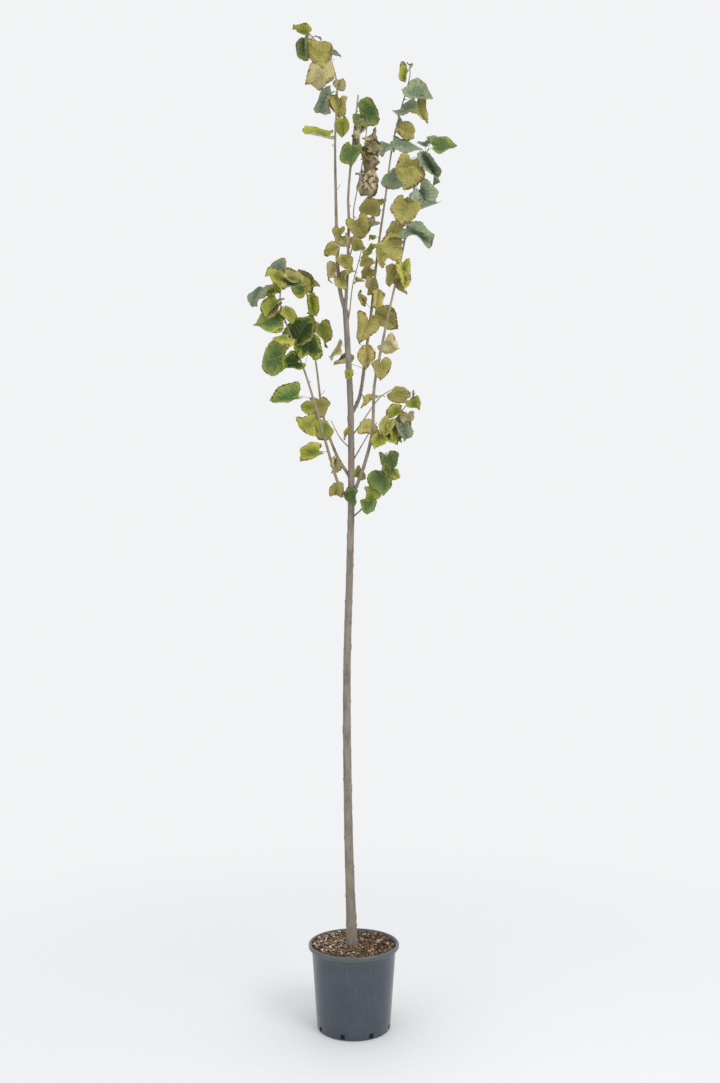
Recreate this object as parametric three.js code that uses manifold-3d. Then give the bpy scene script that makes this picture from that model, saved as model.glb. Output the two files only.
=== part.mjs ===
// A young silver linden, grown as a standard in a round nursery pot. Millimetres, +Z up. The origin is the
// middle of the pot's flat underside, +X is to the right of the front view and +Y is away from it.
import * as THREE from "three";
import { mergeVertices } from "three/addons/utils/BufferGeometryUtils.js";
import Module from "manifold-3d";

const wasm = await Module();
wasm.setup();

// Clear space between two pieces that touch on the real plant.
const SEAM = 0.3;

// The pot: a tapered shell with a turned-out lip and drainage slots round its foot. firstSlot is the bearing
// of one of them, in degrees.
const POT = {
  height: 315,
  rimRadius: 176,
  lipDepth: 17,
  lipBevel: 4,
  lipRound: 2,
  shoulderRadius: 163,
  footRadius: 141,
  wall: 3,
  floor: 4,
  footBevel: 5,
  sides: 40,
  slots: 8,
  firstSlot: 28,
  slotWidth: 18,
  slotHeight: 18,
  slotDepth: 24,
};
const SOIL_LEVEL = 308;

// A limb runs smoothly through a few places. foot and tip are its radii at the two ends, and parents are the
// limbs that it grows out of. Above the height leafy, where that is given, it is the stem of a mass of
// foliage. flare widens the trunk towards the ground. A limb has one ring of corners for about each step of
// its length.
const LIMBS = {
  trunk: {
    through: [
      [-5, 0, 255], [-22, 0, 780], [-28, 0, 1330], [-16, 0, 1800], [-11, 0, 2100], [-15, 0, 2450],
      [-35, 0, 2825],
    ],
    foot: 17.8,
    tip: 11.4,
    flare: { width: 6.5, height: 150 },
    sides: 12,
    step: 110,
  },
  leader_left: {
    through: [
      [-31, 0, 2802], [-57, 10, 2908], [-70, 22, 3060], [-76, 40, 3300], [-80, 50, 3560], [-72, 50, 3780],
      [-92, 50, 3890], [-131, 46, 3955], [-182, 40, 4014],
    ],
    foot: 8.5,
    tip: 2,
    leafy: 3540,
    parents: ["trunk"],
    sides: 8,
    step: 75,
  },
  leader_right: {
    through: [
      [-36, 0, 2806], [-31, -6, 2911], [-25, -12, 3034], [-22, -20, 3193], [-24, -26, 3290],
      [-11, -36, 3450], [17, -50, 3705],
    ],
    foot: 7,
    tip: 3.2,
    parents: ["trunk", "leader_left"],
    sides: 8,
    step: 75,
  },
  bough_left_low: {
    through: [
      [-11, 0, 2045], [-62, -26, 2108], [-122, -80, 2304], [-187, -140, 2520], [-259, -185, 2704],
      [-285, -200, 2800], [-272, -215, 2895],
    ],
    foot: 6.5,
    tip: 2,
    leafy: 2440,
    parents: ["trunk"],
    sides: 8,
    step: 60,
  },
  bough_left_high: {
    through: [
      [-12, 0, 2130], [-76, 34, 2246], [-128, 66, 2407], [-155, 92, 2600], [-180, 112, 2770],
      [-204, 135, 2970],
    ],
    foot: 6.5,
    tip: 2,
    leafy: 2650,
    parents: ["trunk"],
    sides: 8,
    step: 60,
  },
  bough_right_low: {
    through: [
      [-12, 0, 2050], [36, -34, 2168], [72, -62, 2308], [80, -88, 2478], [99, -104, 2592], [140, -130, 2785],
      [190, -155, 3005], [232, -175, 3232], [256, -182, 3322], [290, -190, 3406],
    ],
    foot: 7.5,
    tip: 2,
    leafy: 2830,
    parents: ["trunk"],
    sides: 8,
    step: 75,
  },
  bough_right_high: {
    through: [
      [-16, 0, 2385], [24, 30, 2481], [50, 62, 2675], [70, 80, 2834], [98, 100, 3100], [135, 118, 3372],
      [157, 128, 3545], [187, 138, 3697], [236, 150, 3885], [238, 150, 3943],
    ],
    foot: 7.5,
    tip: 2,
    leafy: 3090,
    parents: ["trunk"],
    sides: 8,
    step: 75,
  },
  twig_fork: {
    through: [[-58, 9, 2915], [-66, -22, 2975], [-60, -30, 3075], [-48, -34, 3160]],
    foot: 2.6,
    tip: 1.6,
    leafy: 0,
    parents: ["leader_left"],
    sides: 5,
    step: 60,
  },
  twig_inner: {
    through: [[-29, 0, 2762], [-20, -12, 2800], [-6, -30, 2915], [16, -40, 3002], [30, -44, 3060]],
    foot: 2.8,
    tip: 1.6,
    leafy: 0,
    parents: ["trunk"],
    sides: 5,
    step: 70,
  },
  twig_dried: {
    through: [
      [-25, -12, 3020], [0, -32, 3110], [-2, -36, 3222], [16, -38, 3328], [30, -42, 3400], [44, -46, 3500],
      [54, -48, 3586],
    ],
    foot: 3,
    tip: 1.8,
    leafy: 0,
    parents: ["leader_right"],
    sides: 5,
    step: 70,
  },
  twig_low: {
    through: [[-11, 0, 1972], [40, -20, 2018], [78, -42, 2080], [108, -58, 2150], [126, -68, 2225]],
    foot: 3.4,
    tip: 1.8,
    leafy: 0,
    parents: ["trunk"],
    sides: 5,
    step: 50,
  },
  twig_side: {
    through: [[64, -56, 2256], [110, -62, 2298], [150, -68, 2342], [192, -75, 2395], [240, -84, 2460]],
    foot: 3,
    tip: 1.6,
    leafy: 0,
    parents: ["bough_right_low"],
    sides: 5,
    step: 50,
  },
  twig_middle: {
    through: [[-13, 0, 2300], [32, -8, 2360], [77, -20, 2426], [112, -30, 2464], [150, -40, 2486]],
    foot: 3,
    tip: 1.6,
    leafy: 0,
    parents: ["trunk"],
    sides: 5,
    step: 50,
  },
  twig_bare_left: {
    through: [[-14, 0, 2255], [-56, -20, 2295], [-92, -30, 2363]],
    foot: 2.6,
    tip: 1.4,
    parents: ["trunk"],
    sides: 5,
    step: 50,
  },
  twig_bare_right: {
    through: [[-11, 0, 2195], [62, -14, 2318], [91, -18, 2357]],
    foot: 3.2,
    tip: 1.6,
    parents: ["trunk"],
    sides: 5,
    step: 60,
  },
};

// A heart-shaped blade, in shares of its length. The right-hand margin runs from beside the petiole to the
// tip.
const BLADE = {
  margin: [[0.25, -0.13], [0.51, 0.06], [0.53, 0.38], [0.36, 0.73]],
  rib: [0.33, 0.67],
  thickness: 0.03,
};

// A petiole's cross-section is a triangle with its corners at these angles. Over its last share, turn, it
// runs with the blade, and leave and arrive are the pulls of its two ends, in shares of its length.
const PETIOLE = { radius: 1.7, steps: 3, corners: [90, -30, 210], turn: 0.15, leave: 0.5, arrive: 0.3 };

// How leaves usually lie, and how far each strays from that or from its run. Angles are in degrees, but roll
// and curl are in radians.
const USUAL = { face: 270, tilt: 22, fold: 26, roll: 0.5, curl: 0.6 };
const STRAY = {
  bearing: 10,
  rise: 8,
  along: 0.22,
  face: 32,
  tilt: 20,
  length: 0.08,
  fold: 15,
  roll: 0.5,
  curl: 0.6,
};

// Masses of foliage. Each has one stem, which is the leafy end of a limb. A run has one leaf for each of its
// bearings, in degrees round from +X towards +Y, spread between two heights on the stem. rise is the slope
// of a petiole, and blade the lengths of the first and last blade. hang is how far a blade drops from its
// petiole's line to straight down, face the bearing that its top turns to, and fold the slope of its two
// halves.
const MASSES = {
  foliage_top: {
    limb: "leader_left",
    seed: 11,
    runs: [
      { at: [3568], bearings: [185], rise: 2, petiole: 24, blade: [116], hang: 0.05, face: 272, fold: 40 },
      { at: [3646], bearings: [342], rise: 20, petiole: 28, blade: [66], hang: 0.7, face: 250 },
      { at: [3738, 3744], bearings: [350, 200], rise: 30, petiole: 16, blade: [76, 62], hang: 0.9,
        fold: 44 },
      { at: [3768], bearings: [186], rise: 15, petiole: 26, blade: [110], hang: 0.45, face: 236, fold: 50 },
      { at: [3775], bearings: [330], rise: 72, petiole: 10, blade: [54], hang: 0, fold: 62 },
      { at: [3882], bearings: [190], rise: 10, petiole: 46, blade: [112], hang: 0.6, face: 262, fold: 18 },
      { at: [3890], bearings: [190], rise: 28, petiole: 38, blade: [104], hang: 0.02, face: 262, fold: 18 },
      { at: [3998], bearings: [188], rise: 10, petiole: 38, blade: [86], hang: 0.9, face: 236, fold: 48 },
      { at: [3936, 4006], bearings: [10, 20], rise: 25, petiole: 14, blade: [50, 30], hang: 0.4 },
      { at: [4010], bearings: [190], rise: 30, petiole: 18, blade: [60], hang: 0.3, face: 280 },
    ],
  },
  foliage_fork: {
    limb: "twig_fork",
    seed: 5,
    runs: [
      { at: [2950, 3150], bearings: [340, 195, 340, 200, 345, 200], rise: 15, petiole: 10, blade: [72, 54],
        hang: 0.6, face: 265 },
    ],
  },
  foliage_inner: {
    limb: "twig_inner",
    seed: 7,
    runs: [
      { at: [2925, 3056], bearings: [350, 240, 350, 235], rise: 20, petiole: 12, blade: [44, 66],
        hang: 0.4 },
    ],
  },
  foliage_dried: {
    limb: "twig_dried",
    seed: 21,
    runs: [
      { at: [3195], bearings: [340], rise: 5, petiole: 12, blade: [98], hang: 0.7 },
      { at: [3352, 3392], bearings: [350, 20], rise: -5, petiole: 28, blade: [76, 84], hang: 0.9,
        face: 280, fold: 50 },
      { at: [3440, 3505], bearings: [330, 0, 350], rise: 0, petiole: 26, blade: [100, 86], hang: 0.85,
        face: 260, fold: 45 },
      { at: [3525, 3565], bearings: [350, 190], rise: 10, petiole: 18, blade: [84, 84], hang: 0.7,
        fold: 45 },
    ],
  },
  foliage_right_high: {
    limb: "bough_right_high",
    seed: 31,
    runs: [
      { at: [3112], bearings: [310], rise: -10, petiole: 12, blade: [82], hang: 0.95, face: 300 },
      { at: [3125, 3165], bearings: [190, 200], rise: 15, petiole: 22, blade: [66, 36], hang: 0.55 },
      { at: [3225, 3285], bearings: [195, 200], rise: 15, petiole: 30, blade: [66, 84], hang: 0.45 },
      { at: [3315], bearings: [200], rise: 40, petiole: 8, blade: [40], hang: 0.2 },
      { at: [3456], bearings: [288], rise: 0, petiole: 10, blade: [116], hang: 0.4, face: 268, fold: 16 },
      { at: [3582, 3612], bearings: [200, 335], rise: 5, petiole: 8, blade: [80, 122], hang: 0.4,
        face: 266, fold: 10 },
      { at: [3655, 3710], bearings: [350, 70], rise: 15, petiole: 18, blade: [84, 64], hang: 0.35,
        face: 260 },
      { at: [3740, 3838], bearings: [318, 335], rise: -4, petiole: 10, blade: [114, 104], hang: 0.36,
        face: 258, fold: 12 },
      { at: [3790], bearings: [20], rise: 5, petiole: 56, blade: [92], hang: 0.6 },
      { at: [3926], bearings: [225], rise: 5, petiole: 8, blade: [74], hang: 0.65, fold: 30 },
      { at: [3940], bearings: [90], rise: 65, petiole: 8, blade: [28], hang: 0 },
    ],
  },
  foliage_right_low: {
    limb: "bough_right_low",
    seed: 41,
    runs: [
      { at: [2928, 2950], bearings: [345, 195], rise: 15, petiole: 16, blade: [80, 76], hang: 0.75 },
      { at: [2962], bearings: [345], rise: -5, petiole: 10, blade: [86], hang: 0.6, fold: 54 },
      { at: [3020, 3075], bearings: [190, 196], rise: 18, petiole: 12, blade: [98, 82], hang: 0.2 },
      { at: [3095], bearings: [350], rise: 0, petiole: 8, blade: [116], hang: 0.55, face: 238, fold: 56 },
      { at: [3205, 3216], bearings: [215, 185], rise: 5, petiole: 20, blade: [108, 66], hang: 0.8,
        face: 260, fold: 18 },
      { at: [3262], bearings: [345], rise: 0, petiole: 8, blade: [116], hang: 0.6, face: 238, fold: 58 },
      { at: [3330, 3366], bearings: [205, 188], rise: 10, petiole: 50, blade: [92, 84], hang: 0.6,
        fold: 18 },
      { at: [3380], bearings: [340], rise: 0, petiole: 8, blade: [118], hang: 0.7, face: 236, fold: 58 },
      { at: [3390, 3404], bearings: [110, 45], rise: 70, petiole: 36, blade: [62, 46], hang: 0.1 },
      { at: [3402], bearings: [5], rise: 40, petiole: 32, blade: [88], hang: 0.2, face: 280, fold: 18 },
    ],
  },
  foliage_left_low: {
    limb: "bough_left_low",
    seed: 51,
    runs: [
      { at: [2430], bearings: [180], rise: 21, petiole: 60, blade: [112], hang: 0.22, face: 262, fold: 44 },
      { at: [2545], bearings: [10], rise: 78, petiole: 58, blade: [124], hang: 0, face: 265, fold: 16 },
      { at: [2565], bearings: [205], rise: 20, petiole: 16, blade: [92], hang: 0.3 },
      { at: [2590], bearings: [180], rise: 8, petiole: 58, blade: [138], hang: 0.12, face: 268, fold: 12 },
      { at: [2635], bearings: [10], rise: 55, petiole: 12, blade: [136], hang: 0.02, face: 275, fold: 16 },
      { at: [2655, 2715], bearings: [215, 180], rise: 12, petiole: 20, blade: [84, 116], hang: 0.2,
        fold: 14 },
      { at: [2770, 2800], bearings: [340, 185, 205], rise: 20, petiole: 14, blade: [66, 92], hang: 0.6 },
      { at: [2826], bearings: [182], rise: 20, petiole: 66, blade: [96], hang: 0.58, face: 262, fold: 40 },
      { at: [2828, 2880], bearings: [185, 340, 248, 20], rise: 35, petiole: 12, blade: [76, 88],
        hang: 0.25 },
      { at: [2897], bearings: [135], rise: 45, petiole: 18, blade: [92], hang: 0.25, face: 262, fold: 30 },
    ],
  },
  foliage_left_high: {
    limb: "bough_left_high",
    seed: 61,
    runs: [
      { at: [2790], bearings: [0], rise: 30, petiole: 46, blade: [104], hang: 0.75, face: 275, fold: 18 },
      { at: [2905, 2925], bearings: [0, 340], rise: 10, petiole: 10, blade: [70, 76], hang: 0.85, face: 320,
        fold: 50 },
      { at: [2925, 2965], bearings: [200, 210, 60, 100], rise: 58, petiole: 14, blade: [84, 96], hang: 0.1,
        fold: 18 },
    ],
  },
  foliage_low: {
    limb: "twig_low",
    seed: 71,
    runs: [
      { at: [2042, 2084], bearings: [285, 215], rise: 0, petiole: 10, blade: [64, 66], hang: 0.7 },
      { at: [2150], bearings: [238], rise: 10, petiole: 14, blade: [90], hang: 0.95 },
      { at: [2165, 2185], bearings: [350, 20], rise: 10, petiole: 22, blade: [66, 60], hang: 0.7,
        face: 280 },
      { at: [2215, 2223], bearings: [290, 60], rise: 20, petiole: 12, blade: [82, 54], hang: 0.5 },
    ],
  },
  foliage_side: {
    limb: "twig_side",
    seed: 81,
    runs: [
      { at: [2300, 2335], bearings: [250, 320, 350, 300], rise: 10, petiole: 14, blade: [64, 68],
        hang: 0.6 },
      { at: [2345, 2385], bearings: [340, 240, 20, 340], rise: 0, petiole: 30, blade: [74, 66], hang: 0.7 },
      { at: [2394], bearings: [210], rise: 10, petiole: 8, blade: [58], hang: 0.5 },
      { at: [2425, 2460], bearings: [320, 80], rise: 0, petiole: 10, blade: [72, 46], hang: 0.45 },
    ],
  },
  foliage_middle: {
    limb: "twig_middle",
    seed: 91,
    runs: [
      { at: [2344], bearings: [325], rise: -8, petiole: 10, blade: [72], hang: 0.05, face: 300, fold: 46 },
      { at: [2460, 2484], bearings: [250, 0], rise: 10, petiole: 14, blade: [52, 78], hang: 0.4 },
    ],
  },
};

// Leaves that stand alone on the bare stretch of a limb, each a piece of its own. at is where it leaves the
// limb.
const LONE_LEAVES = {
  trunk: {
    seed: 121,
    leaves: [
      { at: 2072, bearing: 280, rise: 20, petiole: 30, blade: 72, hang: 0.5 },
      { at: 2168, bearing: 350, rise: 15, petiole: 24, blade: 54, hang: 0.55 },
      { at: 2318, bearing: 235, rise: 0, petiole: 22, blade: 56, hang: 0.1, face: 260, fold: 55 },
      { at: 2572, bearing: 270, rise: 0, petiole: 18, blade: 36, hang: 0.9 },
      { at: 2680, bearing: 150, rise: 0, petiole: 26, blade: 74, hang: 0.3, face: 250 },
    ],
  },
  leader_right: {
    seed: 131,
    leaves: [
      { at: 3484, bearing: 262, rise: 0, petiole: 16, blade: 90, hang: 0.85, fold: 34 },
      { at: 3634, bearing: 343, rise: 7, petiole: 15, blade: 106, hang: 0.27, face: 262, fold: 16 },
    ],
  },
  bough_left_low: {
    seed: 101,
    leaves: [
      { at: 2108, bearing: 235, rise: -10, petiole: 14, blade: 70, hang: 0.95, face: 265 },
      { at: 2205, bearing: 350, rise: 0, petiole: 12, blade: 62, hang: 0.7, face: 300, fold: 60 },
      { at: 2232, bearing: 180, rise: 0, petiole: 38, blade: 84, hang: 0.3, face: 250, fold: 40 },
      { at: 2316, bearing: 180, rise: 20, petiole: 32, blade: 80, hang: 0.1 },
      { at: 2385, bearing: 180, rise: 30, petiole: 20, blade: 56, hang: 0.1 },
    ],
  },
  bough_left_high: {
    seed: 111,
    leaves: [
      { at: 2378, bearing: 245, rise: 10, petiole: 18, blade: 84, hang: 0.85, face: 246, fold: 36 },
      { at: 2474, bearing: 240, rise: 0, petiole: 12, blade: 82, hang: 0.8, fold: 34 },
    ],
  },
  bough_right_low: {
    seed: 151,
    leaves: [
      { at: 2583, bearing: 310, rise: 30, petiole: 24, blade: 78, hang: 0.8, face: 280 },
      { at: 2662, bearing: 350, rise: 0, petiole: 8, blade: 94, hang: 0.4, face: 238, fold: 46 },
    ],
  },
  bough_right_high: {
    seed: 141,
    leaves: [
      { at: 2484, bearing: 20, rise: -20, petiole: 18, blade: 54, hang: 0.95 },
      { at: 2594, bearing: 176, rise: 22, petiole: 62, blade: 66, hang: 0.05, face: 300, fold: 60 },
      { at: 2668, bearing: 270, rise: 20, petiole: 24, blade: 78, hang: 1 },
      { at: 2800, bearing: 258, rise: 15, petiole: 22, blade: 106, hang: 0.8, face: 265 },
      { at: 2818, bearing: 352, rise: 20, petiole: 34, blade: 98, hang: 0.6 },
      { at: 2850, bearing: 186, rise: 55, petiole: 34, blade: 62, hang: 0, fold: 65 },
      { at: 2972, bearing: 205, rise: 20, petiole: 16, blade: 56, hang: 0.7 },
      { at: 2930, bearing: 12, rise: 10, petiole: 16, blade: 104, hang: 0.95, face: 300, fold: 50 },
      { at: 3034, bearing: 190, rise: 10, petiole: 18, blade: 58, hang: 0.5 },
    ],
  },
};

const LOOKS = {
  pot: { color: "#4a5157", roughness: 0.5 },
  substrate: { color: "#6b4f38", roughness: 0.95 },
  bark: { color: "#94897f", roughness: 0.85 },
  leaf: { color: "#7d8a4a", roughness: 0.7 },
};

// Repeatable draws from 0 to 1.
function drawsFrom(seed) {
  let state = seed * 7919 + 17;
  return () => {
    state = (state * 16807) % 2147483647;
    return state / 2147483647;
  };
}

const radians = THREE.MathUtils.degToRad;
const DOWN = new THREE.Vector3(0, 0, -1);
// Corners closer than this are one corner.
const MERGE = 1e-4;

// The direction of a compass bearing and a slope above level, both in degrees.
function heading(bearing, rise) {
  const level = Math.cos(radians(rise));
  return new THREE.Vector3(
    Math.cos(radians(bearing)) * level,
    Math.sin(radians(bearing)) * level,
    Math.sin(radians(rise)),
  );
}

// A closed mesh as a solid.
function solidOf(geometry) {
  geometry.deleteAttribute("normal");
  geometry.deleteAttribute("uv");
  const merged = mergeVertices(geometry, MERGE);
  return new wasm.Manifold(
    new wasm.Mesh({
      numProp: 3,
      vertProperties: merged.attributes.position.array,
      triVerts: new Uint32Array(merged.index.array),
    }),
  );
}

function geometryFrom(corners, faces) {
  const positions = corners.flatMap((corner) => corner.toArray());
  const geometry = new THREE.BufferGeometry();
  geometry.setAttribute("position", new THREE.Float32BufferAttribute(positions, 3));
  geometry.setIndex(faces.flat());
  return geometry;
}

// The largest body of a solid, without the loose scraps that a cut can leave.
function oneBody(solid) {
  const bodies = solid.decompose();
  return bodies.reduce((best, body) => (body.volume() > best.volume() ? body : best));
}

function geometryOf(solid) {
  const mesh = solid.getMesh();
  const geometry = new THREE.BufferGeometry();
  geometry.setAttribute("position", new THREE.BufferAttribute(mesh.vertProperties, 3));
  geometry.setIndex(new THREE.BufferAttribute(mesh.triVerts, 1));
  return geometry.toNonIndexed();
}

// Limbs.

const curves = {};
for (const [name, limb] of Object.entries(LIMBS)) {
  const places = limb.through.map((place) => new THREE.Vector3(...place));
  curves[name] = new THREE.CatmullRomCurve3(places, false, "catmullrom");
}

// The share of a limb's length at which it passes a height. Every limb climbs all the way.
const HALVINGS = 24;
function shareAt(name, height) {
  let low = 0;
  let high = 1;
  for (let halving = 0; halving < HALVINGS; halving++) {
    const middle = (low + high) / 2;
    if (curves[name].getPointAt(middle).z < height) low = middle;
    else high = middle;
  }
  return (low + high) / 2;
}

function limbRadius(name, share) {
  const { foot, tip, flare } = LIMBS[name];
  const taper = foot + (tip - foot) * share;
  if (!flare) return taper;
  const climbed = share * curves[name].getLength();
  return taper + flare.width * Math.exp(-climbed / flare.height);
}

// A closed tube along a curve between two shares of its length, its two end caps pushed out by over.
function tube(curve, from, to, radiusAt, sides, steps, over) {
  const corners = [];
  const faces = [];
  for (let i = 0; i <= steps; i++) {
    const share = from + ((to - from) * i) / steps;
    const along = curve.getTangentAt(share);
    const outward = i === 0 ? -over : i === steps ? over : 0;
    const centre = curve.getPointAt(share).addScaledVector(along, outward);
    const across = new THREE.Vector3(0, -1, 0).cross(along).normalize();
    const front = new THREE.Vector3().crossVectors(along, across);
    for (let k = 0; k < sides; k++) {
      const angle = (2 * Math.PI * k) / sides;
      const corner = centre.clone();
      corner.addScaledVector(across, radiusAt(share) * Math.cos(angle));
      corner.addScaledVector(front, radiusAt(share) * Math.sin(angle));
      corners.push(corner);
    }
  }
  for (let i = 0; i < steps; i++)
    for (let k = 0; k < sides; k++) {
      const a = i * sides + k;
      const b = i * sides + ((k + 1) % sides);
      faces.push([a, b, b + sides], [a, b + sides, a + sides]);
    }
  const last = steps * sides;
  for (let k = 1; k < sides - 1; k++) faces.push([0, k + 1, k], [last, last + k, last + k + 1]);
  return geometryFrom(corners, faces);
}

// A stretch of a limb, swelled by some clearance when it is used to cut what grows out of it.
function limbSolid(name, from, to, swell = 0) {
  const { sides, step } = LIMBS[name];
  const steps = Math.max(2, Math.round(((to - from) * curves[name].getLength()) / step));
  const radiusAt = (share) => limbRadius(name, share) + swell / Math.cos(Math.PI / sides);
  return solidOf(tube(curves[name], from, to, radiusAt, sides, steps, swell));
}

// Leaves.

// A point of a blade of length 1: x across, y along, h above the blade. Both halves slope up by fold, the
// sides roll over by roll and the blade bends down along its length by curl, all in radians.
function bladePoint(x, y, h, { fold, roll, curl }) {
  const reach = Math.abs(x);
  const side = Math.sign(x);
  const slope = fold - roll * reach;
  const middle = fold - (roll * reach) / 2;
  const level = side * (reach * Math.cos(middle) - h * Math.sin(slope));
  const lift = reach * Math.sin(middle) + h * (side === 0 ? 1 : Math.cos(slope));
  const turned = curl * y;
  const forward = Math.sin(turned) / curl + lift * Math.sin(turned);
  const up = lift * Math.cos(turned) - (1 - Math.cos(turned)) / curl;
  return new THREE.Vector3(level, forward, up);
}

// Where a leaf goes: out is the way its petiole sets off, along the way its blade points, top the way it
// faces.
function leafPose(leaf, draw) {
  const jitter = () => draw() * 2 - 1;
  const bearing = leaf.bearing + STRAY.bearing * jitter();
  const out = heading(bearing, leaf.rise + STRAY.rise * jitter());
  const along = out.clone().multiplyScalar(1 - leaf.hang).addScaledVector(DOWN, leaf.hang);
  along.add(new THREE.Vector3(jitter(), jitter(), jitter()).multiplyScalar(STRAY.along)).normalize();
  const face = (leaf.face ?? USUAL.face) + STRAY.face * jitter();
  const top = heading(face, USUAL.tilt + STRAY.tilt * jitter());
  top.addScaledVector(along, -top.dot(along)).normalize();
  const length = leaf.blade * (1 + STRAY.length * jitter());
  const shape = {
    fold: radians((leaf.fold ?? USUAL.fold) + STRAY.fold * jitter()),
    roll: USUAL.roll + STRAY.roll * jitter(),
    curl: USUAL.curl + STRAY.curl * jitter(),
  };
  return { out, along, top, length, shape };
}

// The line of a petiole: it sets off along out and turns into the blade's own direction.
function petioleCurve(place, stalk, out, along) {
  const { turn, leave, arrive } = PETIOLE;
  const base = place.clone().addScaledVector(out, stalk * (1 - turn)).addScaledVector(along, stalk * turn);
  const first = place.clone().addScaledVector(out, stalk * leave);
  const second = base.clone().addScaledVector(along, -stalk * arrive);
  return new THREE.CubicBezierCurve3(place, first, second, base);
}

// One leaf: a three-sided petiole that opens into a blade with faces above and below each half of the
// midrib. The halves of the blade share the margin, and its thickness is greatest at the midrib.
function leafSolid(place, leaf, draw) {
  const { out, along, top, length, shape } = leafPose(leaf, draw);
  const path = petioleCurve(place, leaf.petiole, out, along);
  const corners = [];
  const faces = [];
  const sides = PETIOLE.corners.length;
  for (let i = 0; i <= PETIOLE.steps; i++) {
    const forward = path.getTangent(i / PETIOLE.steps);
    const right = new THREE.Vector3().crossVectors(forward, top).normalize();
    const up = new THREE.Vector3().crossVectors(right, forward);
    for (const angle of PETIOLE.corners) {
      const corner = path.getPoint(i / PETIOLE.steps);
      corner.addScaledVector(right, PETIOLE.radius * Math.cos(radians(angle)));
      corner.addScaledVector(up, PETIOLE.radius * Math.sin(radians(angle)));
      corners.push(corner);
    }
  }
  for (let i = 0; i < PETIOLE.steps; i++)
    for (let k = 0; k < sides; k++) {
      const a = sides * i + k;
      const b = sides * i + ((k + 1) % sides);
      faces.push([a, b, b + sides], [a, b + sides, a + sides]);
    }
  faces.push([0, 2, 1]);

  const across = new THREE.Vector3().crossVectors(along, top);
  const addPoint = (x, y, h) => {
    const p = bladePoint(x, y, h, shape).multiplyScalar(length);
    const point = path.v3.clone().addScaledVector(across, p.x);
    return corners.push(point.addScaledVector(along, p.y).addScaledVector(top, p.z)) - 1;
  };
  const crown = corners.length - sides;
  const tip = addPoint(0, 1, 0);
  const above = BLADE.rib.map((y) => addPoint(0, y, BLADE.thickness / 2));
  const below = BLADE.rib.map((y) => addPoint(0, y, -BLADE.thickness / 2));
  for (const side of [1, -1]) {
    const [lobe, shoulder, cheek, neck] = BLADE.margin.map(([x, y]) => addPoint(side * x, y, 0));
    const foot = side === 1 ? crown + 1 : crown + 2;
    const half = (notch, [low, high]) => [
      [notch, lobe, shoulder],
      [notch, shoulder, low],
      [low, shoulder, cheek],
      [low, cheek, high],
      [high, cheek, neck],
      [high, neck, tip],
    ];
    const seen = half(crown, above);
    const hidden = half(foot, below).map(([a, b, c]) => [a, c, b]);
    const all = [...seen, ...hidden, [lobe, crown, foot]];
    faces.push(...(side === 1 ? all : all.map(([a, b, c]) => [a, c, b])));
  }
  faces.push([below[0], crown + 1, crown + 2]);
  return solidOf(geometryFrom(corners, faces));
}

// Pot and substrate.

function latheSolid(profile) {
  const points = profile.map(([r, z]) => new THREE.Vector2(r, z));
  return solidOf(new THREE.LatheGeometry(points, POT.sides).rotateX(Math.PI / 2));
}

// The radius of the pot's outer wall at a height.
function wallRadius(z) {
  const spread = POT.shoulderRadius - POT.footRadius;
  return POT.footRadius + (spread * z) / (POT.height - POT.lipDepth);
}

function potSolid() {
  const { height, lipDepth, lipBevel, lipRound, wall, floor, footBevel, rimRadius } = POT;
  const { slots, firstSlot, slotWidth, slotHeight, slotDepth } = POT;
  const underLip = height - lipDepth;
  let pot = latheSolid([
    [0, 0],
    [wallRadius(0) - footBevel, 0],
    [wallRadius(footBevel), footBevel],
    [wallRadius(underLip), underLip],
    [rimRadius - lipBevel, underLip],
    [rimRadius, underLip + lipBevel],
    [rimRadius, height - lipRound],
    [rimRadius - lipRound, height],
    [wallRadius(height) - wall, height],
    [wallRadius(floor) - wall, floor],
    [0, floor],
  ]);
  for (let k = 0; k < slots; k++) {
    const slot = new THREE.BoxGeometry(slotDepth, slotWidth, slotHeight);
    slot.translate(wallRadius(0), 0, floor + slotHeight / 2);
    slot.rotateZ(radians(firstSlot) + (2 * Math.PI * k) / slots);
    pot = pot.subtract(solidOf(slot));
  }
  return pot;
}

function soilSolid() {
  const bottom = POT.floor + SEAM;
  const inner = (z) => wallRadius(z) - POT.wall - SEAM;
  return latheSolid([
    [0, bottom],
    [inner(bottom), bottom],
    [inner(SOIL_LEVEL), SOIL_LEVEL],
    [0, SOIL_LEVEL],
  ]);
}

// The plant, piece by piece.

const group = new THREE.Group();

function show(name, solid, { color, roughness }) {
  const material = new THREE.MeshStandardMaterial({ color, roughness, metalness: 0 });
  const mesh = new THREE.Mesh(geometryOf(oneBody(solid)), material);
  mesh.name = name;
  group.add(mesh);
}

// What grows out of a limb is cut clear of it.
function cutClear(solid, parents) {
  return parents.reduce((left, parent) => left.subtract(limbSolid(parent, 0, 1, SEAM)), solid);
}

// A limb's bare stretch. The trunk is cut flat where it stands on the substrate.
function bareSolid(name) {
  const { leafy, parents } = LIMBS[name];
  const limb = cutClear(limbSolid(name, 0, leafy ? shareAt(name, leafy) : 1), parents ?? []);
  const block = 100;
  const ground = new THREE.BoxGeometry(block, block, block);
  return limb.subtract(solidOf(ground.translate(0, 0, SOIL_LEVEL + SEAM - block / 2)));
}

function leafOn(limb, height, leaf, draw) {
  return leafSolid(curves[limb].getPointAt(shareAt(limb, height)), leaf, draw);
}

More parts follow.
